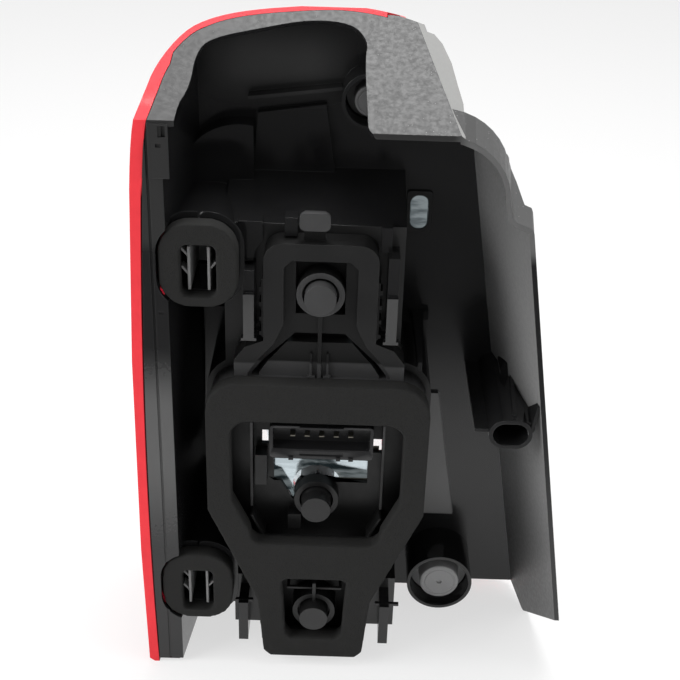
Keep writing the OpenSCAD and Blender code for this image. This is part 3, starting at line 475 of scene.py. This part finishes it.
@dataclass(frozen=True)
class LensPlastic(Finish):
    """Red lens plastic: clear in front, with a painted glow at its rear rim, where light leaves it,
    and painted shade beside the housing.
    """

    # Painted glow: a bright red that stands for the light leaving the rear rim and crown.
    glow: Triple = (0.93, 0.06, 0.075)
    # Painted shade, on the inner face beside the housing.
    shade: Triple = (0.02, 0.002, 0.003)
    rim_mm: float = 12.0
    index: float = 1.49
    clear_share: float = 0.75
    side_x: float = -0.0985
    side_bulge: float = 0.0052
    side_middle_z: float = 108
    side_half: float = 0.2

    def build(self, graph: Graph) -> None:
        """Fills the material's graph."""
        haze = graph.noise(18, 3, 0.6)
        rough = graph.ramp(haze, 0.35, 0.7, self.roughness * 0.6, self.roughness * 1.5)
        crown = graph.ramp(graph.axis("Z"), 0.262, 0.27)
        painted_side_shade = self.painted_side_shade_mask(graph)
        ahead = (graph.ramp(graph.axis("Y"), self.rim_mm * MM * 0.5, self.rim_mm * MM)
                 * (1 - crown) * (1 - painted_side_shade))
        normal = graph.bump(graph.noise(9, 2), 0.01)
        red, green, blue = self.glow
        deeper = (red * 0.8, green * 0.8, blue * 0.8)
        # The rim's colour: painted glow, with painted shade beside the housing.
        rim = graph.blend(painted_side_shade, graph.blend(haze, deeper, self.glow), self.shade)
        graph.mixed(ahead * self.clear_share,
                    {"Base Color": rim, "Roughness": rough, "IOR": self.index,
                     "Specular IOR Level": 0.04, "Normal": normal},
                    {"Base Color": self.colour + (1,), "Roughness": rough, "IOR": self.index,
                     "Transmission Weight": 1.0, "Normal": normal})

    def painted_side_shade_mask(self, graph: Graph) -> Wire:
        """1 on the inner face beside the housing, where shade is painted, which follows the side's
        curve.
        """
        height = graph.axis("Z")
        rise = (height + (CROSSBAR_Z - self.side_middle_z) * MM) / self.side_half
        side = rise * rise * self.side_bulge + self.side_x
        return (graph.ramp(graph.axis("X") - side, 0.0053, 0.0059)
                * graph.ramp(height, 0.22, 0.23, 1, 0)
                * graph.ramp(graph.axis("Y"), 0.047, 0.051, 1, 0))


@dataclass(frozen=True)
class Foam(Finish):
    """Closed-cell foam with open pores on its cut faces."""

    pore_mm: float = 0.7
    pore_depth_mm: float = 0.16

    def build(self, graph: Graph) -> None:
        """Fills the material's graph."""
        pores = graph.ramp(graph.cells(self.pore_mm), 0.12, 0.5)
        patches = graph.noise(14, 3, 0.6)
        # Darker in the pores as painted shade, mixed with patches of random tone.
        shade = graph.blend(pores * 0.6 + patches * 0.4, self.toned(0.55), self.toned(1.3))
        rough = graph.ramp(patches, 0.3, 0.7, self.roughness - 0.06, self.roughness + 0.05)
        height = pores * 0.75 + graph.noise(2.2, 2) * 0.25
        graph.surface({"Base Color": shade, "Roughness": rough, "IOR": 1.4,
                       "Specular IOR Level": 0.3,
                       "Normal": graph.bump(height, self.pore_depth_mm, 0.8)})


@dataclass(frozen=True)
class Metal(Finish):
    """Bare or metallised surface, with faint marks and, if wanted, a painted reflection given off
    as light of its own.
    """

    tarnish: float = 0.2
    painted_reflection_strength: float = 0.0
    painted_reflection_dark: Triple = (0.05, 0.08, 0.09)
    painted_reflection_light: Triple = (0.74, 0.85, 0.88)

    def build(self, graph: Graph) -> None:
        """Fills the material's graph."""
        patches = graph.noise(7, 4, 0.6)
        fine = graph.noise(0.7, 3, 0.6)
        rough = graph.ramp(patches * 0.5 + fine * 0.5, 0.3, 0.7,
                           self.roughness * 0.7, self.roughness * 1.5)
        # Painted reflection: light and dark patches, given off as emission.
        streaks = graph.ramp(graph.noise(9, 3, 0.6, (0.5, 1, 2.2)), 0.38, 0.62)
        tint = graph.blend(patches, self.toned(1 - self.tarnish), self.colour)
        graph.surface({"Base Color": tint, "Metallic": 1.0, "Roughness": rough,
                       "Emission Color": graph.blend(streaks, self.painted_reflection_dark, self.painted_reflection_light),
                       "Emission Strength": self.painted_reflection_strength, "Normal": graph.bump(fine, 0.006)})


class Finishes(Enum):
    """Every finish of the lamp."""

    HOUSING = HousingPlastic("black_housing_plastic", (0.012, 0.012, 0.0125), 0.16)
    RED = LensPlastic("red_lens_plastic", (0.86, 0.012, 0.045), 0.05)
    CLEAR = ClearPlastic("clear_lens_plastic", (0.97, 0.97, 0.97), 0.04, 0.97)
    # The reflector's last number is the strength of its painted reflection.
    MIRROR = Metal("metallised_reflector", (0.62, 0.7, 0.74), 0.12, 0.3, 0.16)
    HOLDER = HolderPlastic("grey_holder_plastic", (0.05, 0.05, 0.051), 0.4, 0.6, 0.014)
    FOAM = Foam("black_seal_foam", (0.017, 0.017, 0.0165), 0.86)
    # Black clip plastic painted mid grey, as painted light for the bright streaks along the blades.
    CLIP = MouldedPlastic("black_clip_plastic_painted_light", (0.2, 0.2, 0.2), 0.36, 0.5, 0.012)
    VENT = MouldedPlastic("grey_vent_plastic", (0.09, 0.09, 0.091), 0.42, 0.5, 0.014)
    # The lower vent's plastic: a lighter grey than the upper vent's.
    WORN_VENT = MouldedPlastic("lighter_vent_plastic", (0.3, 0.3, 0.303), 0.46, 0.5, 0.014)
    CONNECTOR = MouldedPlastic("black_connector_plastic", (0.018, 0.018, 0.019), 0.2, 0.8, 0.006)
    # Darker than bright tin, as painted shade for the pins deep in the connector's socket.
    CONTACT = Metal("tinned_contact_brass", (0.34, 0.32, 0.27), 0.34, 0.2)
    BRASS = Metal("bulb_cap_brass", (0.78, 0.62, 0.32), 0.26, 0.25)
    GLASS = ClearPlastic("bulb_glass", (1.0, 1.0, 1.0), 0.02, 1.0, 1.47)
    AMBER = ClearPlastic("amber_bulb_glass", (1.0, 0.52, 0.12), 0.02, 0.95, 1.47)


# Modelling with Blender's operators


class Workpiece:
    """A mesh that is shaped with Blender's own operators, with its place in its vertices."""

    def __init__(self, obj: bpy.types.Object) -> None:
        """Keeps the object that is being worked on."""
        self.obj = obj

    @staticmethod
    def deselect() -> None:
        """Deselects everything in the scene."""
        for other in bpy.context.scene.objects:
            other.select_set(False)

    @classmethod
    def from_solid(cls, node: str, name: str) -> "Workpiece":
        """A merged copy of a node of the solids, which a piece starts from."""
        mesh = frame["nodes"][node].data.copy()
        obj = bpy.data.objects.new(name, mesh)
        bpy.context.scene.collection.objects.link(obj)
        piece = cls(obj)
        piece.activate()
        bpy.ops.object.mode_set(mode="EDIT")
        bpy.ops.mesh.select_all(action="SELECT")
        bpy.ops.mesh.remove_doubles(threshold=MERGE_DISTANCE)
        bpy.ops.mesh.normals_make_consistent(inside=False)
        bpy.ops.object.mode_set(mode="OBJECT")
        return piece

    @classmethod
    def turned(cls, name: str, axis: tuple[float, float], profile: Sequence[tuple[float, float]],
               sides: int = 64) -> "Workpiece":
        """A closed turned form about a line along Y, drawn out ring by ring.

        Args:
            name: the piece's name.
            axis: x and z of the line, in millimetres.
            profile: radius and y of each ring, in millimetres, the first and the last closed.
            sides: how many sides the rings have.

        Returns:
            The workpiece, with its faces outwards.
        """
        cls.deselect()
        radius, y = profile[0]
        bpy.ops.mesh.primitive_circle_add(vertices=sides, radius=radius * MM, fill_type="NGON",
                                          location=at(axis[0], y, axis[1]),
                                          rotation=(math.pi / 2, 0, 0))
        piece = cls(bpy.context.object)
        piece.obj.name = name
        piece.place_in_mesh()
        bpy.ops.object.mode_set(mode="EDIT")
        bpy.ops.mesh.select_all(action="SELECT")
        for next_radius, next_y in profile[1:]:
            step = (0, (next_y - y) * MM, 0)
            bpy.ops.mesh.extrude_region_move(TRANSFORM_OT_translate={"value": step})
            scale = next_radius / radius
            bpy.ops.transform.resize(value=(scale, 1, scale),
                                     center_override=at(axis[0], next_y, axis[1]))
            radius, y = next_radius, next_y
        bpy.ops.mesh.select_all(action="SELECT")
        bpy.ops.mesh.normals_make_consistent(inside=False)
        bpy.ops.object.mode_set(mode="OBJECT")
        return piece

    def place_in_mesh(self) -> None:
        """Moves the object's place, turn and scale into its mesh."""
        self.activate()
        bpy.ops.object.transform_apply(location=True, rotation=True, scale=True)

    def scale_about(self, centre: Vector, factors: Triple) -> "Workpiece":
        """Scales the whole mesh about a point."""
        self.activate()
        bpy.ops.object.mode_set(mode="EDIT")
        bpy.ops.mesh.select_all(action="SELECT")
        bpy.ops.transform.resize(value=factors, center_override=centre)
        bpy.ops.object.mode_set(mode="OBJECT")
        return self

    def flatten(self) -> "Workpiece":
        """Joins the coplanar triangles of a merged solid into its own faces."""
        self.activate()
        bpy.ops.object.mode_set(mode="EDIT")
        bpy.ops.mesh.select_all(action="SELECT")
        bpy.ops.mesh.dissolve_limited(angle_limit=math.radians(COPLANAR_DEGREES))
        bpy.ops.object.mode_set(mode="OBJECT")
        return self

    def round_edges(self, radius_mm: float, degrees: float = 40) -> "Workpiece":
        """Rounds the edges that are sharper than an angle."""
        return self.modify("BEVEL", width=radius_mm * MM, segments=2, limit_method="ANGLE",
                           angle_limit=math.radians(degrees))

    def join(self, *others: "Workpiece") -> "Workpiece":
        """Joins other workpieces into this one."""
        self.activate()
        for other in others:
            other.obj.select_set(True)
        bpy.ops.object.join()
        return self

    def activate(self) -> None:
        """Makes this the only selected object and the active one."""
        self.deselect()
        self.obj.select_set(True)
        bpy.context.view_layer.objects.active = self.obj

    def shift(self, inside: Callable[[float, float, float], bool], move: Triple) -> "Workpiece":
        """Moves the vertices whose places, in the source's millimetres, pass a test.

        Args:
            inside: says of x, y and z whether a vertex moves.
            move: how far it moves, in millimetres.

        Returns:
            This workpiece.
        """
        self.activate()
        bpy.ops.object.mode_set(mode="EDIT")
        bpy.ops.mesh.select_mode(type="VERT")
        bpy.ops.mesh.select_all(action="DESELECT")
        edited = bmesh.from_edit_mesh(self.obj.data)
        for vertex in edited.verts:
            if inside(vertex.co.x / MM, vertex.co.y / MM, vertex.co.z / MM + CROSSBAR_Z):
                vertex.select = True
        edited.select_flush_mode()
        bmesh.update_edit_mesh(self.obj.data)
        bpy.ops.transform.translate(value=tuple(v * MM for v in move))
        bpy.ops.object.mode_set(mode="OBJECT")
        return self

    def modify(self, kind: str, **settings: Any) -> "Workpiece":
        """Adds a modifier with these settings and applies it."""
        self.activate()
        modifier = self.obj.modifiers.new(kind.lower(), kind)
        for name, value in settings.items():
            setattr(modifier, name, value)
        bpy.ops.object.modifier_apply(modifier=modifier.name)
        return self

    def smooth(self, degrees: float = 35) -> "Workpiece":
        """Shades the mesh smooth, apart from edges sharper than an angle."""
        self.activate()
        bpy.ops.object.shade_smooth_by_angle(angle=math.radians(degrees))
        return self

    def finish(self, finish: Finishes, slot: str, *replaced: str) -> bpy.types.Object:
        """Gives the piece its finish and body, and hides the nodes that it stands for."""
        self.obj.data.materials.clear()
        self.obj.data.materials.append(finish.value.material())
        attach(self.obj, BODY)
        if replaced:
            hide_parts(*replaced)
        LOG.info("piece %s: %d faces", self.obj.name, len(self.obj.data.polygons))
        return self.obj


@dataclass
class FoamParts:
    """The body seal and the two clip pads, as soft foam, and the collars under the pads."""

    voxel_mm: float = 1.0
    rounds: int = 5
    smooth_degrees: float = 60
    fill: float = 0.9
    upper_clip: tuple[float, float] = (-61.5, 262)
    lower_clip: tuple[float, float] = (-67, 57)
    window_inner: float = 6.5
    window_outer: float = 11.8
    window_half_height: float = 15.6
    window_drop: float = 3
    window_closer: float = 2.6
    collar_y: float = 10.4
    collar_reach: float = 1.13
    collar_depth: float = 0.12
    collar_shift: float = 0.7

    def build(self) -> None:
        """Makes each foam piece from its solid, with rounded edges and an uneven face."""
        self.foam("holder_gasket", "body_seal_foam")
        for node, name, centre in (("upper_clip_pad", "upper_clip_foam", self.upper_clip),
                                   ("lower_clip_pad", "lower_clip_foam", self.lower_clip)):
            self.foam(node, name, centre)
            self.collar(node, name.replace("foam", "collar"), centre)

    def foam(self, node: str, name: str, centre: tuple[float, float] | None = None) -> None:
        """Makes one foam piece.

        Args:
            node: the solid that it starts from and replaces.
            name: the piece's name.
            centre: x and z of a clip, whose window is drawn in at its sides.
        """
        piece = Workpiece.from_solid(node, name)
        if centre:
            self.narrow_window(piece, *centre)
        piece.modify("REMESH", mode="VOXEL", voxel_size=self.voxel_mm * MM)
        piece.modify("SMOOTH", factor=0.5, iterations=self.rounds)
        foam = piece.smooth(self.smooth_degrees).finish(Finishes.FOAM, "seal_foam", node)

    def narrow_window(self, piece: Workpiece, clip_x: float, clip_z: float) -> None:
        """Draws the two upright sides of a pad's window towards each other."""
        for side in (-1, 1):
            piece.shift(lambda x, y, z: (self.window_inner < side * (x - clip_x) < self.window_outer
                                         and abs(z - clip_z + self.window_drop)
                                         < self.window_half_height),
                        (-side * self.window_closer, 0, 0))

    def collar(self, node: str, name: str, centre: tuple[float, float]) -> None:
        """Makes the thin collar on the housing that a clip's pad lies on."""
        piece = Workpiece.from_solid(node, name)
        piece.scale_about(at(centre[0], self.collar_y, centre[1]),
                          (self.collar_reach, self.collar_depth, self.collar_reach))
        piece.shift(lambda x, y, z: True, (0, self.collar_shift, 0))
        piece.smooth(30).finish(Finishes.HOUSING, "housing_plastic")


@dataclass
class MouldedParts:
    """Rigid mouldings whose curves are shaded smooth, or whose edges are rounded off."""

    smooth_degrees: float = 24
    area_weight: int = 60

    def build(self) -> None:
        """Makes the smooth and the rounded copies of the solids."""
        for node, name, finish, slot in (
                ("outer_lens", "red_lens_moulding", Finishes.RED, "red_lens"),
                ("reflector", "reflector_moulding", Finishes.MIRROR, "reflector_mirror")):
            piece = Workpiece.from_solid(node, name).flatten().smooth(self.smooth_degrees)
            piece.modify("WEIGHTED_NORMAL", mode="FACE_AREA", weight=self.area_weight,
                         keep_sharp=True)
            piece.finish(finish, slot, node)
        for node, name, finish, slot, radius in (
                ("upper_clip_insert", "upper_clip_grip", Finishes.CLIP, "clip_plastic", 0.2),
                ("lower_clip_insert", "lower_clip_grip", Finishes.CLIP, "clip_plastic", 0.2),
                ("connector_socket", "connector_shell", Finishes.CONNECTOR,
                 "connector_plastic", 0.3),
                ("connector_pins", "connector_blades", Finishes.CONTACT, "contact_metal", 0.15)):
            piece = Workpiece.from_solid(node, name).round_edges(radius)
            piece.smooth(self.smooth_degrees).finish(finish, slot, node)


@dataclass
class VentCap:
    """A vent cap: a base in the spigot, and a disc with a sunk ring and a centre mark."""

    node: str
    name: str
    centre: tuple[float, float]
    base_r: float
    disc_r: float
    back_y: float
    finish: Finishes
    depth: float = 15
    base_depth: float = 3
    ring_outer: float = 0.82
    ring_inner: float = 0.72
    ring_sunk: float = 0.22
    mark_r: float = 1.7

    def build(self) -> None:
        """Turns the cap about its axis."""
        face = self.back_y - self.depth
        base = self.back_y - self.base_depth
        rim = self.disc_r
        groove = face + self.ring_sunk
        profile = [(self.base_r, self.back_y), (self.base_r, base + 0.4), (self.base_r - 0.4, base),
                   (rim + 0.5, base), (rim, base - 0.5), (rim, face + 0.9),
                   (rim - 0.25, face + 0.3), (rim - 0.9, face),
                   (rim * self.ring_outer, face), (rim * 0.8, groove),
                   (rim * 0.74, groove), (rim * self.ring_inner, face),
                   (self.mark_r, face), (self.mark_r - 0.3, face + 0.3),
                   (self.mark_r - 0.4, face + 1)]
        cap = Workpiece.turned(self.name, self.centre, profile).smooth(40)
        cap.finish(self.finish, "vent_plastic", self.node)


@dataclass
class Bulb:
    """A bulb: a hollow glass, a crimped cap with its contact, and a coil on two posts."""

    kind: str
    z: float
    finish: Finishes
    slot: str
    base_y: float = 26.3
    cap_length: float = 19
    cap_r: float = 7.5
    crimp: float = 0.45
    post_x: float = 3.2
    post_r: float = 0.45
    post_sides: int = 12
    filament_y: float = 62
    coil_r: float = 0.7
    coil_pitch: float = 0.8
    coil_turns: int = 8
    wire_r: float = 0.14
    wire_sides: int = 8
    glass_wall: float = 0.8

    def build(self) -> None:
        """Makes the three pieces of the bulb."""
        node = f"{self.kind}_bulb_glass"
        glass = Workpiece.from_solid(node, f"{self.kind}_bulb_envelope")
        glass.modify("SOLIDIFY", thickness=self.glass_wall * MM, offset=-1)
        glass.smooth(50).finish(self.finish, self.slot, node)
        self.cap().smooth(35).finish(Finishes.BRASS, "bulb_metal", f"{self.kind}_bulb_cap")
        self.filament().smooth(60).finish(Finishes.CONTACT, "bulb_metal")

    def cap(self) -> Workpiece:
        """The brass cap, with its solder contact, two crimped grooves and a rolled mouth."""
        foot, mouth, r = self.base_y, self.base_y + self.cap_length, self.cap_r
        waist = r - self.crimp
        neck = r - 0.4
        profile = [(1.6, foot), (2.2, foot + 0.5), (2.6, foot + 1.0), (r - 1.6, foot + 1.2),
                   (r - 0.5, foot + 2.0), (r, foot + 3.2), (r, foot + 7), (waist, foot + 7.5),
                   (waist, foot + 8.1), (r, foot + 8.6), (r, mouth - 5), (neck, mouth - 4.5),
                   (neck, mouth - 4), (r, mouth - 3.5), (r, mouth - 0.5), (neck, mouth)]
        return Workpiece.turned(f"{self.kind}_bulb_base", (0, self.z), profile)

    def posts(self) -> list[Workpiece]:
        """The two posts that carry the coil."""
        start, tip = self.base_y + self.cap_length + 0.2, self.filament_y
        thin = self.post_r - 0.15
        profile = [(self.post_r, start), (self.post_r, start + 6), (thin, start + 7),
                   (thin, tip - 0.6), (self.post_r - 0.03, tip), (0.2, tip + 0.5)]
        return [Workpiece.turned(f"post_{side}", (side * self.post_x, self.z), profile,
                                 self.post_sides) for side in (-1, 1)]

    def filament(self) -> Workpiece:
        """The coiled wire, joined with its two posts."""
        posts = self.posts()
        Workpiece.deselect()
        start = at(-self.post_x, self.filament_y, self.z)
        section = start + Vector((0, 0, self.coil_r * MM))
        bpy.ops.mesh.primitive_circle_add(vertices=self.wire_sides, radius=self.wire_r * MM,
                                          location=section, rotation=(math.pi / 2, 0, 0))
        coil = Workpiece(bpy.context.object)
        coil.obj.name = f"{self.kind}_bulb_filament"
        bpy.context.scene.cursor.location = start
        coil.place_in_mesh()
        bpy.ops.object.origin_set(type="ORIGIN_CURSOR")
        coil.modify("SCREW", axis="X", angle=math.radians(360), screw_offset=self.coil_pitch * MM,
                    iterations=self.coil_turns, steps=20, render_steps=20)
        coil.place_in_mesh()
        return coil.join(*posts)


@dataclass
class HolderMoulding:
    """The bulb holder, with a deeper indicator socket and a taller slot above it."""

    socket_z: float = 111
    button_r: float = 8.4
    button_y: float = 1.5
    button_shift: float = 4.5
    ring_r: float = 12.8
    ring_low_y: float = 8.5
    ring_high_y: float = 13.5
    ring_shift: float = 6
    slot_low_z: float = 123.7
    slot_shift: float = -5.5
    slot_left_x: float = -25
    slot_right_x: float = 29
    slot_y: float = 22
    slot_near: float = 0.15

    def build(self) -> None:
        """Shapes a copy of the holder's solid and gives it its finish."""
        piece = Workpiece.from_solid("bulb_holder", "holder_moulding")
        piece.shift(self.in_ring, (0, self.ring_shift, 0))
        piece.shift(self.in_button, (0, self.button_shift, 0))
        piece.shift(self.on_slot_edge, (0, 0, self.slot_shift))
        piece.finish(Finishes.HOLDER, "holder_plastic", "bulb_holder")

    def in_ring(self, x: float, y: float, z: float) -> bool:
        """Says whether a vertex belongs to the ring round the indicator's socket."""
        return (self.button_r < math.hypot(x, z - self.socket_z) < self.ring_r
                and self.ring_low_y < y < self.ring_high_y)

    def in_button(self, x: float, y: float, z: float) -> bool:
        """Says whether a vertex belongs to the face of the indicator's cap."""
        return math.hypot(x, z - self.socket_z) < self.button_r and y < self.button_y

    def on_slot_edge(self, x: float, y: float, z: float) -> bool:
        """Says whether a vertex lies on the slot's lower edge."""
        return (abs(z - self.slot_low_z) < self.slot_near and y > self.slot_y
                and self.slot_left_x < x < self.slot_right_x)


@dataclass
class SolidFinishes:
    """The finishes of the solids' nodes, also of those that a piece stands for."""

    finishes: dict[str, Finishes] = field(default_factory=lambda: {
        "housing": Finishes.HOUSING, "outer_lens": Finishes.RED, "clear_lens": Finishes.CLEAR,
        "reflector": Finishes.MIRROR, "bulb_holder": Finishes.HOLDER,
        "upper_clip_insert": Finishes.CLIP, "lower_clip_insert": Finishes.CLIP,
        "upper_vent_cap": Finishes.VENT, "lower_vent_cap": Finishes.VENT,
        "connector_socket": Finishes.CONNECTOR, "connector_pins": Finishes.CONTACT,
        "stop_bulb_glass": Finishes.GLASS, "indicator_bulb_glass": Finishes.AMBER,
        "fog_bulb_glass": Finishes.GLASS, "stop_bulb_cap": Finishes.BRASS,
        "indicator_bulb_cap": Finishes.BRASS, "fog_bulb_cap": Finishes.BRASS,
        "earth_strip": Finishes.CONTACT, "stop_strip": Finishes.CONTACT,
        "indicator_strip": Finishes.CONTACT, "fog_strip": Finishes.CONTACT,
        "holder_gasket": Finishes.FOAM, "upper_clip_pad": Finishes.FOAM,
        "lower_clip_pad": Finishes.FOAM})

    def dress(self) -> None:
        """Gives every node of the solids its material."""
        for node, finish in self.finishes.items():
            mesh = frame["nodes"][node].data
            mesh.materials.clear()
            mesh.materials.append(finish.value.material())
        LOG.info("dressed %d nodes", len(self.finishes))


# Studio


@dataclass
class Studio:
    """Floor, world, lamps and camera."""

    camera_place: Vector = field(default_factory=lambda: at(10.6, -569.7, 539.1))
    camera_aim: Vector = field(default_factory=lambda: at(10.6, 60, 190))
    lens_mm: float = 67.2
    roll_degrees: float = 1.8
    floor_half: float = 6.0
    floor_colour: float = 0.95
    seen_white: float = 0.64
    dark_side: float = 0.12
    ambient: float = 0.42

    def build(self) -> None:
        """Makes the whole studio."""
        bpy.context.scene.view_settings.view_transform = "Standard"
        self.make_camera()
        self.make_floor()
        self.make_world()
        for name, place, aim, size, power in (
                ("overhead_softbox", (0.1, 0.25, 1.5), (0.02, 0.05, 0.1), 0.75, 18),
                ("left_softbox", (-1.3, -0.5, 0.8), (0, 0.05, 0.1), 0.9, 15),
                ("right_softbox", (1.4, -0.3, 0.7), (0, 0.05, 0.1), 0.9, 5)):
            self.make_lamp(name, Vector(place), Vector(aim), size, power)

    def make_camera(self) -> None:
        """Places the camera at the photograph's viewing angle."""
        data = bpy.data.cameras.new("camera")
        data.lens = self.lens_mm
        data.clip_start = 0.01
        camera = bpy.data.objects.new("camera", data)
        aim = (self.camera_aim - self.camera_place).to_track_quat("-Z", "Y").to_matrix().to_4x4()
        camera.matrix_world = (Matrix.Translation(self.camera_place) @ aim
                               @ Matrix.Rotation(math.radians(self.roll_degrees), 4, "Z"))
        bpy.context.scene.collection.objects.link(camera)
        bpy.context.scene.camera = camera

    def make_floor(self) -> None:
        """Lays a plain pale floor under the lamp."""
        Workpiece.deselect()
        bpy.ops.mesh.primitive_plane_add(size=2 * self.floor_half, location=at(0, 0, 0))
        floor = bpy.context.object
        floor.name = "floor"
        material = bpy.data.materials.new("floor_paint")
        material.use_nodes = True
        graph = Graph(material.node_tree)
        path = graph.node("ShaderNodeLightPath")
        behind = graph.ramp(graph.axis("Y"), -0.3, -0.05)
        mirrored = Wire(graph, path.outputs["Is Glossy Ray"])
        seen = Wire(graph, path.outputs["Is Camera Ray"]).larger(mirrored * behind)
        seen = seen.larger(Wire(graph, path.outputs["Is Transmission Ray"]))
        lit = 1 - mirrored * (1 - behind) * (1 - self.dark_side)
        paint = graph.wire("ShaderNodeBsdfPrincipled", 0, None, {
            "Base Color": graph.blend(lit, grey(0.0), grey(self.floor_colour)), "Roughness": 0.9,
            "Specular IOR Level": 0.1})
        white = graph.wire("ShaderNodeEmission", 0, None, {"Color": (1, 1, 1, 1), "Strength": 1.0})
        graph.output(graph.wire("ShaderNodeMixShader", 0, None,
                                {0: seen * self.seen_white, 1: paint, 2: white}))
        floor.data.materials.append(material)

    def make_world(self) -> None:
        """Gives an even grey surround, seen as white."""
        world = bpy.data.worlds.new("surround")
        world.use_nodes = True
        bpy.context.scene.world = world
        graph = Graph(world.node_tree)
        path = graph.node("ShaderNodeLightPath")
        mirrored = Wire(graph, path.outputs["Is Glossy Ray"])
        direction = graph.wire("ShaderNodeTexCoord", "Generated")
        forward = graph.wire("ShaderNodeSeparateXYZ", "Y", None, {0: direction})
        ahead = graph.ramp(forward, -0.75, -0.2)
        through = Wire(graph, path.outputs["Is Transmission Ray"])
        seen = Wire(graph, path.outputs["Is Camera Ray"]).larger(through)
        plain = seen * (1 - self.ambient) + self.ambient
        reflected = ahead * (1 - self.dark_side) + self.dark_side
        strength = plain * (1 - mirrored) + mirrored * reflected
        back = graph.node("ShaderNodeBackground", None,
                          {"Color": (1, 1, 1, 1), "Strength": strength})
        out = graph.node("ShaderNodeOutputWorld")
        graph.tree.links.new(back.outputs[0], out.inputs[0])

    def make_lamp(self, name: str, place: Vector, aim: Vector, size: float, power: float) -> None:
        """Adds one square softbox.

        Args:
            name: the lamp's name.
            place: where it hangs, in metres.
            aim: the point that it faces.
            size: its side, in metres.
            power: its power in watts.
        """
        data = bpy.data.lights.new(name, "AREA")
        data.shape = "SQUARE"
        data.size = size
        data.energy = power
        lamp = bpy.data.objects.new(name, data)
        lamp.location = place
        lamp.rotation_euler = (aim - place).to_track_quat("-Z", "Y").to_euler()
        bpy.context.scene.collection.objects.link(lamp)


def main() -> None:
    """Builds the studio and the lamp's pieces in order."""
    logging.basicConfig(level=logging.INFO, format="%(name)s: %(message)s")
    Studio().build()
    SolidFinishes().dress()
    MouldedParts().build()
    HolderMoulding().build()
    FoamParts().build()
    VentCap("upper_vent_cap", "upper_vent_disc", centre=(22.5, 331.5), base_r=12.7, disc_r=8.2,
            back_y=72, finish=Finishes.VENT).build()
    VentCap("lower_vent_cap", "lower_vent_disc", centre=(76.6, 29), base_r=17.7, disc_r=12,
            back_y=61, finish=Finishes.WORN_VENT).build()
    for bulb in (Bulb("stop", 244, Finishes.GLASS, "bulb_glass"),
                 Bulb("fog", 35, Finishes.GLASS, "bulb_glass"),
                 Bulb("indicator", 111, Finishes.AMBER, "amber_glass")):
        bulb.build()


if __name__ == "__main__":
    main()
